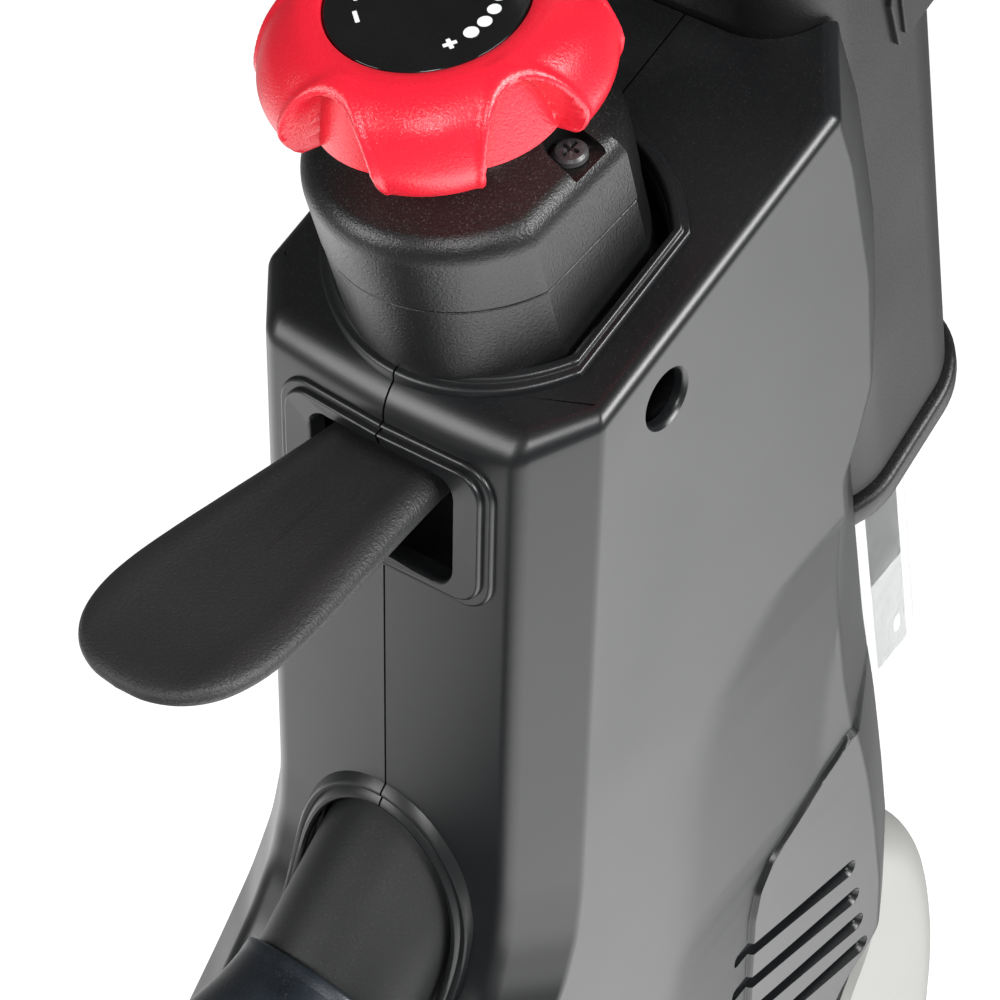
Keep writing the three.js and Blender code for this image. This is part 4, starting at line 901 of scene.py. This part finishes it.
def knob_mesh():
    """A ring about the dial. Round the turn its wall swells to lobes; in each of five hollows, an arch
    |a / 18.5 deg|^2.3 + (height above the rim / 20.8)^2.6 < 1, the wall falls back to a leaning flat, and a
    raised welt follows the arch."""
    outer = smooth([
        (21.7, -1.9), (21.7, 0.1), (22.3, 0.75), (24.0, 1.15), (27.0, 0.9), (30.5, -0.9), (33.6, -3.9),
        (35.8, -8.0), (37.1, -12.2), (37.1, -15.0), (36.2, -17.9), (34.9, -20.2),
    ], 84)
    under = np.array([(34.9, KNOB_LOW), (30, KNOB_LOW - 0.1), (21.2, KNOB_LOW), (20.6, KNOB_LOW + 0.6),
                      (20.6, -14.2),
                      (5.4, -14.2), (5.4, -2.0)])
    count = 480
    turn = np.linspace(0, 2 * pi, count, endpoint=False)
    r = np.broadcast_to(outer[:, :1], (len(outer), count)).copy()
    h = np.broadcast_to(outer[:, 1:], r.shape).copy()
    step = 2 * pi / LOBES
    away = (turn + step / 2) % step - step / 2
    a = np.abs(away)[None] / radians(18.5)
    b = np.clip((h + 22.6) / 20.8, 0, 3)
    arch = (a**2.3 + b**2.6) ** (1 / 2.4)
    edge = (arch - 1) * 11
    inside = 1 - ramp((edge + 0.7) / 1.0)
    floor = 27.2 + 4.0 * np.clip((-2.0 - h) / 20.6, 0, 1) ** 0.8 - 0.6 * (away / radians(18)) ** 2
    outer_part = ramp((r - 24.5) / 2.0)
    r = r + (np.minimum(floor, r) - r) * inside * outer_part
    welt = 0.85 * np.exp(-(((edge - 1.0) / 0.75) ** 2)) * outer_part
    slope = np.gradient(outer, axis=0)
    out = np.abs(unit(slope[:, ::-1]))
    swell = 0.5 * np.cos(LOBES * (turn - pi / LOBES))[None] * ramp((r - 28) / 6) * (1 - inside)
    r = r + out[:, :1] * welt + swell
    h = h + out[:, 1:] * welt * 0.8
    below = np.minimum(under[:, :1], np.maximum(r[-1:] - 1.0 - 0.4 * np.arange(len(under))[:, None], 21.3))
    below[3:] = under[3:, :1]
    rr = np.concatenate([r, below])
    hh = np.concatenate([h, np.broadcast_to(under[:, 1:], (len(under), count))])
    grid = np.stack([rr * np.sin(turn), -rr * np.cos(turn), hh], -1)
    return solid(on_knob(grid), ends="join")


piece("knob_ring", knob_mesh(), "red", "knob", "resistance_knob", sharp=40)
dial = turned([(0.01, -1.5), (21.2, -1.5), (21.35, -1.3), (21.35, 0.0), (21.1, 0.25), (20.5, 0.36), (12, 0.42),
               (0.01, 0.44)], 120)
piece("dial_face", solid(on_knob(dial)), "dial", "knob", "knob_dial", sharp=50)


def dial_marks():
    """Printed marks on the dial: a minus, a plus, and dots on a circle that grow from the one to the other."""
    low, high, circle_radius = 0.38, 0.47, 14.7
    parts = []
    sizes = np.linspace(0.55, 1.62, 16)
    angles = np.radians(np.linspace(-59, -284, 16))
    for size, angle in zip(sizes, angles):
        dot = circle(size, 24, circle_radius * sin(angle), -circle_radius * cos(angle))
        parts.append(skin(on_knob(slab(dot, low, high))))
    for (cu, cv), turn, arms in (((-9.1, -11.6), -38, 1), ((12.6, -8.3), 57, 2)):
        for arm in range(arms):
            c, s = cos(radians(turn + 90 * arm)), sin(radians(turn + 90 * arm))
            p, n = rectangle(1.75 if arms == 1 else 1.5, 0.48, 0.2, arc=3)
            spin = np.array([(c, s), (-s, c)])
            parts.append(skin(on_knob(slab((p @ spin + (cu, cv), n @ spin), low, high + 0.01 * arm))))
    return mesh("marks", *merged(*parts))


piece("dial_marks", dial_marks(), "mark", "knob", slot="dial", sharp=30)


# ---------------------------------------------------------------- brake lever
def paddle_mesh():
    """A round-ended blade: rings shrink from its outline to a spine. The edge is rounded as a superellipse, the
    top is dished between two soft rims, and the dish deepens towards the tip."""
    root = 14.0
    side_line = np.array([(16, root), (16.6, 2), (18.3, -14), (20.4, -30), (22.2, -44), (23.2, -56), (22.6, -66),
                          (19.8, -74.5), (14.6, -80.6), (7.6, -84.1), (0, -85)])
    plan = np.concatenate([
        smooth(side_line, 74),
        smooth(side_line[::-1] * (-1, 1), 74)[1:],
    ])
    spine = np.stack([np.zeros(len(plan)), np.clip(plan[:, 1], -60, root - 0.5)], -1)
    s = np.concatenate([np.linspace(0.03, 0.8, 16), 1 - 0.2 * np.linspace(1, 0, 12)[1:] ** 2])
    rings = []
    for top, share in [(True, x) for x in s] + [(False, x) for x in s[::-1][1:]]:
        p = spine + (plan - spine) * share
        tip = ramp((-p[:, 1] - 14) / 62)
        round_off = (1 - share**7) ** 0.5
        if top:
            across = np.abs(p[:, 0]) / np.maximum(np.interp(-p[:, 1], -side_line[:7, 1], side_line[:7, 0]), 1)
            rim_lift = 0.7 * np.exp(-(((across - 0.72) / 0.16) ** 2)) * (1 - tip * 0.5)
            height = 4.2 * round_off - 1.7 * tip * (1 - share**2) + rim_lift * (share < 0.97)
        else:
            height = -4.0 * round_off * (1 - 0.35 * tip)
        rings.append(np.stack([p[:, 0], p[:, 1], np.broadcast_to(height, len(p))], -1))
    g = np.stack(rings)
    dip = tan(radians(3.0))
    g[..., 2] += -20.0 + dip * g[..., 1]
    return g


pivot_z = -20 + tan(radians(3)) * 24
lever = carved(
    solid(paddle_mesh()),
    ("UNION", mesh("neck", *block((-16, 9, pivot_z - 4), (16, 24, pivot_z + 4)))),
    ("UNION", solid(bar((-16, 24, pivot_z), (32, 24, pivot_z), 8, 0.5))),
    ("UNION", mesh("finger", *block((23.4, 11, pivot_z - 4), (32, 24, pivot_z + 2)))),
    ("DIFFERENCE", solid(bar((-60, 24, pivot_z), (60, 24, pivot_z), 4.6))),
)
piece("brake_paddle", lever, "paddle", "lever", "brake_lever", sharp=50)

# ---------------------------------------------------------------- stub and top beam
stub = bar(stub_axis(np.array(30.0)), stub_axis(np.array(-30.0)), 22.5, 0.6, 72)
piece("stub_tube", solid(stub), "stub", "frame", "head_stub", slot="textured_black", sharp=40)
beam_end = (beam_low.y - DATUM[1]) * 1000
beam_path = smooth([
    (0, -25.0, STUB_Z + tan(radians(STUB_DIP)) * -21.0), (0, -31, BEAM_Z + 2.6), (0, -40, BEAM_Z + 0.5),
    (0, -54, BEAM_Z),
    (0, -90, BEAM_Z), (0, -200, BEAM_Z), (0, beam_end + 12, BEAM_Z),
], 60)
beam_path = np.concatenate([beam_path[:1], beam_path[:1] + (beam_path[1:2] - beam_path[:1]) * 0.2,
                            beam_path[:1] + (beam_path[1:2] - beam_path[:1]) * 0.6, beam_path[1:]])
beam_radius = np.full(len(beam_path), 24.95)
beam_radius[:3] = (22.9, 23.9, 24.6)
piece("beam_tube", solid(tube(beam_path, beam_radius, 72)), "beam", "frame", "top_beam", sharp=50)


# ---------------------------------------------------------------- sleeve, liner and handlebar post
def rim_plane(u, v, offset):
    """Height along the post where a plane through the flange's middle, rising forward by 31 degrees and lifted
    by offset, meets the line at (u, v)."""
    c, s, rise = cos(radians(RAKE)), sin(radians(RAKE)), tan(radians(RIM_RISE))
    return (v * (c * rise - s) + offset) / (c + s * rise)


def between_planes(outline, profile, closed="join"):
    """An outline carried through (drawn in, lift, high) rows: lift is over the flange's plane, or the height
    along the post where high is true."""
    p, n = outline
    rings = []
    for inset, lift, high in profile:
        q = p - n * inset
        w = np.full(len(q), float(lift)) if high else rim_plane(q[:, 0], q[:, 1], lift)
        rings.append(np.c_[q, w])
    return solid(on_post(np.stack(rings)), ends=closed)


STEP = 7 / cos(radians(RIM_RISE))
sleeve_outline = rectangle(31.0, 30.7, 19.0, arc=16, run=2)
sleeve = between_planes(sleeve_outline, [
    (0.5, STEP + 1.3, 0), (0.0, STEP + 2.0, 0), (0, 60, 1), (0, 150, 1), (0, 233.6, 1), (0.4, 234.6, 1),
    (1.2, 235, 1), (2.6, 235, 1), (3.3, 234.6, 1), (3.5, 233.6, 1), (3.5, STEP + 2.0, 0),
])
PIN_UP = 205.0  # the pull pin's height along the sleeve
pin = turned([(7.2, 0), (7.2, 80)], 32)
pin_hole = solid(on_post(np.stack([pin[..., 0], pin[..., 2], PIN_UP + pin[..., 1]], -1)))
piece("raked_sleeve", carved(sleeve, ("DIFFERENCE", pin_hole)), "sleeve", "frame", "handlebar_sleeve",
      slot="textured_black", sharp=35, even=True)
liner_outline = rectangle(34.0, 33.7, 22.0, arc=16, run=2)
liner = between_planes(liner_outline, [
    (14.0, 0.4, 0), (2.4, 0.0, 0), (0.9, 0.5, 0), (0.15, 1.6, 0), (0, 3.2, 0), (0.2, STEP - 1.6, 0),
    (0.9, STEP - 0.5, 0), (1.9, STEP, 0), (4.2, STEP, 0), (4.4, STEP + 1.2, 0), (6.9, STEP + 2.4, 0),
    (6.9, 234.2, 1), (7.4, 234.7, 1), (13.4, 234.7, 1), (13.8, 234, 1),
])
piece("liner_flange", liner, "textured_black", "frame", "sleeve_liner", sharp=35, even=True)

# A small cable holder with a pointed foot on the sleeve's right side.
holder_low = rounded([(0, 0), (5.2, -13), (20, -6.5), (26, 12), (26, 46), (-3, 46)], [0.8, 0.8, 2, 3, 3, 3], 4)
holder_high = rounded([(1.8, 3), (5.6, -9.5), (18.4, -4.2), (23.6, 12.4), (23.6, 43), (-0.2, 43)],
                      [0.8, 0.8, 2, 2, 2, 2], 4)
holder_at = np.array([141.5, 40.5])


def on_sleeve_side(points):
    y, z, x = np.moveaxis(np.asarray(points, float), -1, 0)
    return np.stack([30.4 + x, y + holder_at[0], z + holder_at[1]], -1)


holder = carved(
    solid(on_sleeve_side(slab(holder_low, 0.0, 2.4, 0, 0.6))),
    ("UNION", solid(on_sleeve_side(slab(holder_high, 0.0, 3.6, 0, 0.5)))),
)
piece("cable_holder", holder, "sleeve", "frame", slot="textured_black", sharp=25, even=True)

POST = rectangle(19.5, 19.5, 12.0, arc=14, run=1)
post_wall = solid(on_post(carried(POST, [
    (3.0, -99.0), (2.8, -99.8), (0.5, -99.8), (0.0, -99.2), (0, -60), (0, 60), (0, 180), (0, 250), (3, 250),
    (3, 60)])), ends="join")
slot_cut = slab(rectangle(1.5, 3.4, 1.4, 3.2, -88.5, 5), 0, 40)
slot_hole = solid(on_post(slot_cut[..., [2, 0, 1]]))
piece("post_tube", carved(post_wall, ("DIFFERENCE", slot_hole)), "aluminium", "handlebar_post",
      sharp=35, even=True)
plug = on_post(slab(rectangle(19.3, 19.3, 11.8, arc=14), -100.0, -98.9, 0.4, 0))
piece("post_end_plug", solid(plug), "rubber", "handlebar_post", slot="aluminium", sharp=35)


# ---------------------------------------------------------------- flywheel hood
def hood_mesh():
    """A cowl carried along its top curve. Across, the roof is flat and turns down at both sides by a quarter
    circle, then runs inward as a side wall; a second, smaller pass makes the inner face."""
    curve = smooth([(158, -264.6), (176, -265.5), (191, -270), (202, -278.5), (212.5, -290.5), (222, -309),
                    (230, -336),
                    (234, -360), (235.6, -386), (238, -430), (246, -480), (257, -525), (265.5, -560)], 90)
    run = unit(np.gradient(curve, axis=0))
    inward = np.stack([run[:, 1], -run[:, 0]], -1)
    depth = np.interp(curve[:, 1], [-560, -430, -330, -290, -264], [46, 52, 62, 34, 10])

    def lap(inset):
        half, radius = 31.0 - inset, 15.0 - inset
        t = np.radians(np.linspace(0, 90, 12))
        flat = half - radius
        right_x = np.concatenate([np.linspace(0, flat, 5)[:-1], flat + radius * np.sin(t), np.full(6, half)])
        drop = np.concatenate([np.zeros(4), radius - radius * np.cos(t), np.full(6, radius)])
        share = np.concatenate([np.zeros(16), np.linspace(0, 1, 7)[1:]])
        x = np.r_[-right_x[::-1], right_x[1:]]
        drop, share = np.r_[drop[::-1], drop[1:]], np.r_[share[::-1], share[1:]]
        down = inset + drop[None] + share[None] * np.maximum(depth - radius, 1.0)[:, None]
        yz = curve[:, None] + inward[:, None] * down[..., None]
        return np.concatenate([np.broadcast_to(x, yz.shape[:2])[..., None], yz], -1)

    grid = np.concatenate([lap(0.0), lap(2.5)[:, ::-1]], axis=1)
    return solid(grid)


piece("flywheel_cowl", hood_mesh(), "hood", "frame", "flywheel_hood", sharp=40)

# ---------------------------------------------------------------- saddle cushion
pad_low, pad_high = (np.array(v) * 1000 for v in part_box("saddle_pad"))
PAD_SLACK = 5.0  # the cushion is cut this much smaller and blown up to size
PAD_LIMIT = 0.007  # metres a point may move while it fills


def in_row(points):
    """Row-frame millimetres to metres."""
    return np.asarray(points, float) / 1000


def pad_outline(count=160):
    """A saddle's plan: a broad round rear that narrows by a smooth step to a slim nose."""
    middle, half = (pad_low + pad_high) / 2, (pad_high - pad_low) / 2
    t = np.linspace(0, 2 * pi, count, endpoint=False)
    along = -np.cos(t)
    wide = (half[0] - PAD_SLACK) * (1 - 0.72 * ramp((along + 0.55) / 1.15))
    round_off = np.sign(np.sin(t)) * np.abs(np.sin(t)) ** 0.62
    return np.stack([wide * round_off, middle[1] + (half[1] - PAD_SLACK) * along], -1)


def pad_mesh():
    """Rings between the flat base and the crown: at angle t the plan is drawn in by (1 - cos t) of its own
    size and stands sin t of the height, so the cushion is fullest low down and domed above."""
    plan, low, high = pad_outline(), pad_low[2] + 1.5, pad_high[2] - PAD_SLACK
    centre = np.stack([np.zeros(len(plan)), np.clip(plan[:, 1], pad_low[1] + 60, pad_high[1] - 14)], -1)
    rings = []
    for draw, rise in ((0.5, 0.0), (0.86, 0.0), (0.96, 0.12), (1.0, 0.32), (0.985, 0.55), (0.92, 0.76),
                       (0.78, 0.91), (0.55, 0.98), (0.3, 1.0), (0.06, 1.0)):
        q = centre + (plan - centre) * draw
        rings.append(np.c_[q, np.full(len(q), low + (high - low) * rise)])
    return mesh("cushion", *skin(np.stack(rings)), at=in_row)


def filled(data):
    """Blows the cushion up as cloth with its base held, and keeps each point within PAD_LIMIT of its start."""
    o = shown("filling", data)
    remesh = o.modifiers.new("even mesh", "REMESH")
    remesh.mode, remesh.voxel_size = "VOXEL", 0.005
    even = bpy.data.meshes.new_from_object(o.evaluated_get(bpy.context.evaluated_depsgraph_get()))
    bpy.data.objects.remove(o)
    start = np.empty(len(even.vertices) * 3)
    even.vertices.foreach_get("co", start)
    start = start.reshape(-1, 3)
    o = shown("filling", even)
    held = o.vertex_groups.new(name="held")
    held.add(np.flatnonzero(start[:, 2] < pad_low[2] / 1000 + 0.0035).tolist(), 1.0, "REPLACE")
    cloth = o.modifiers.new("filling", "CLOTH")
    cloth.settings.use_pressure = True
    cloth.settings.uniform_pressure_force = 4.0
    cloth.settings.vertex_group_mass = "held"
    cloth.settings.effector_weights.gravity = 0.0
    for step in range(1, 21):
        bpy.context.scene.frame_set(step)
    blown = bpy.data.meshes.new_from_object(o.evaluated_get(bpy.context.evaluated_depsgraph_get()))
    end = np.empty(len(blown.vertices) * 3)
    blown.vertices.foreach_get("co", end)
    bpy.context.scene.frame_set(1)
    bpy.data.objects.remove(o)
    move = end.reshape(-1, 3) - start
    length = np.maximum(np.linalg.norm(move, axis=1, keepdims=True), 1e-9)
    start = start + move * np.minimum(PAD_LIMIT / length, 1.0)
    even.vertices.foreach_set("co", start.ravel())
    even.polygons.foreach_set("use_smooth", np.ones(len(even.polygons), bool))
    even.update()
    return even


pad = piece("saddle_cushion", filled(pad_mesh()), "saddle_cover", "saddle", "saddle_pad", sharp=80)
finer = pad.modifiers.new("smooth skin", "SUBSURF")
finer.levels = finer.render_levels = 1


def piping():
    """A sewn welt round the cushion: at each place on the plan it stands at the furthest point of the skin
    along the plan's own normal."""
    skin_at = np.empty(len(pad.data.vertices) * 3)
    pad.data.vertices.foreach_get("co", skin_at)
    skin_at = skin_at.reshape(-1, 3) * 1000
    plan = pad_outline(120)
    along = unit(np.roll(plan, -1, 0) - np.roll(plan, 1, 0))
    normal = np.stack([along[:, 1], -along[:, 0]], -1)
    normal *= np.sign(((plan - plan.mean(0)) * normal).sum(-1, keepdims=True))
    height = pad_low[2] + 10.0
    band = skin_at[np.abs(skin_at[:, 2] - height) < 4]
    offset = band[None, :, :2] - plan[:, None]
    beside = np.abs((offset * along[:, None]).sum(-1)) < 5
    reach = np.where(beside, (offset * normal[:, None]).sum(-1), -9).max(1)
    reach = np.convolve(np.r_[reach[-4:], reach, reach[:4]], np.ones(9) / 9, "valid")
    line = np.c_[plan + normal * reach[:, None], np.full(len(plan), height)]
    t = np.linspace(0, 2 * pi, 12, endpoint=False)
    out = np.c_[normal, np.zeros(len(normal))][:, None]
    up = np.array([0, 0, 1.0])
    ring = line[:, None] + 1.5 * (np.cos(t)[None, :, None] * out + np.sin(t)[None, :, None] * up)
    return mesh("piping", *skin(ring, ends="join"), at=in_row)


piece("saddle_piping", piping(), "saddle_cover", "saddle", sharp=60)

# ---------------------------------------------------------------- finishes of the carried-over nodes
slot_of = {s["node"]: s["material_slot"] for s in frame["record"]["subparts"]}
for name, o in frame["nodes"].items():
    o.data.materials.clear()
    o.data.materials.append(FINISHES[slot_of[name]])
    if name != "lever_return_spring":
        weld = o.modifiers.new("joined corners", "WELD")
        weld.merge_threshold = 2e-5
        edge = o.modifiers.new("softened edges", "BEVEL")
        edge.width, edge.segments = 0.0006, 2
        edge.limit_method, edge.angle_limit = "ANGLE", radians(32)

# ---------------------------------------------------------------- studio and camera
floor_half = 6.0
ring = np.array([(-1, -1), (1, -1), (1, 1), (-1, 1)], float) * floor_half
floor = mesh("floor", *skin(np.stack([np.c_[ring, np.full(4, h)] for h in (-0.02, 0.0)])), at=lambda p: p)
floor = shown("studio_floor", floor)
floor_finish = bpy.data.materials.new("pale_floor")
floor_finish.use_nodes = True
floor_shader = floor_finish.node_tree.nodes["Principled BSDF"]
floor_shader.inputs["Base Color"].default_value = (0.3, 0.3, 0.3, 1)
floor_shader.inputs["Roughness"].default_value = 0.9
floor_shader.inputs["Emission Color"].default_value = (1, 1, 1, 1)
floor_tree = floor_finish.node_tree


def pool(centre, reach, edge_from, edge_to, slant, strength):
    """A soft pool of light: a smooth step across the slanted line x - slant (y - 0.75), times a smooth step
    that fades it out between the two radii of reach round its centre."""
    where = node(floor_tree, "TexCoord").outputs["Object"]
    parts = node(floor_tree, "SeparateXYZ", {0: where})
    line = maths(floor_tree, "MULTIPLY_ADD", parts.outputs[1], -slant, parts.outputs[0])
    line = maths(floor_tree, "ADD", line, 0.75 * slant)
    side = node(floor_tree, "MapRange", {0: line, 1: edge_from, 2: edge_to}, interpolation_type="SMOOTHSTEP")
    away = node(floor_tree, "VectorMath", {0: where, 1: (*centre, 0.0)}, operation="DISTANCE").outputs["Value"]
    fade = node(floor_tree, "MapRange", {0: away, 1: reach[0], 2: reach[1], 3: 1.0, 4: 0.0},
                interpolation_type="SMOOTHSTEP")
    both = maths(floor_tree, "MULTIPLY", side.outputs[0], fade.outputs[0])
    return maths(floor_tree, "MULTIPLY", both, strength)


lit = maths(floor_tree, "ADD", pool((0.9, 0.7), (1.1, 2.0), 0.17, 0.42, 0.55, 2.9),
            pool((-0.95, -0.4), (0.75, 1.3), -0.42, -0.66, 0.0, 1.7))
lit = maths(floor_tree, "ADD", lit, 0.3)
seen = node(floor_tree, "LightPath").outputs["Is Camera Ray"]
shown_level = node(floor_tree, "MapRange", {0: seen, 3: lit, 4: 0.95})
floor_tree.links.new(shown_level.outputs[0], floor_shader.inputs["Emission Strength"])
floor.data.materials.append(floor_finish)

camera = bpy.data.cameras.new("camera")
camera.lens, camera.sensor_width = 115.2, 36.0
camera.clip_start = 0.02
viewer = bpy.data.objects.new("camera", camera)
bpy.context.scene.collection.objects.link(viewer)
viewer.location = Vector(DATUM) + Vector((0.3588, -0.4031, 0.4280))
viewer.rotation_euler = (radians(90 - 40.4), 0, radians(39.0))
bpy.context.scene.camera = viewer


def softbox(name, direction, distance, width, height, power, aim=(0.0, 0.06, -0.06)):
    """A rectangular light that stands off in a direction and faces the tower."""
    light = bpy.data.lights.new(name, "AREA")
    light.shape, light.size, light.size_y, light.energy = "RECTANGLE", width, height, power
    o = bpy.data.objects.new(name, light)
    target = Vector(DATUM) + Vector(aim)
    o.location = target + Vector(direction).normalized() * distance
    o.rotation_euler = (o.location - target).to_track_quat("Z", "Y").to_euler()
    bpy.context.scene.collection.objects.link(o)


softbox("right_softbox", (0.82, 0.12, 0.56), 1.6, 1.0, 0.5, 40)
softbox("rider_softbox", (-0.47, -0.83, 0.31), 1.7, 0.6, 0.7, 14)
softbox("front_softbox", (0.36, -0.7, 0.62), 1.9, 0.45, 0.45, 15)
world = bpy.data.worlds.new("studio")
world.use_nodes = True
backdrop = world.node_tree.nodes["Background"]
backdrop.inputs["Color"].default_value = (1.0, 1.0, 1.0, 1)
seen = world.node_tree.nodes.new("ShaderNodeLightPath").outputs["Is Camera Ray"]
level = world.node_tree.nodes.new("ShaderNodeMapRange")
level.inputs[3].default_value, level.inputs[4].default_value = 0.12, 1.0
world.node_tree.links.new(seen, level.inputs[0])
world.node_tree.links.new(level.outputs[0], backdrop.inputs["Strength"])
bpy.context.scene.world = world
bpy.context.scene.view_settings.view_transform = "Standard"
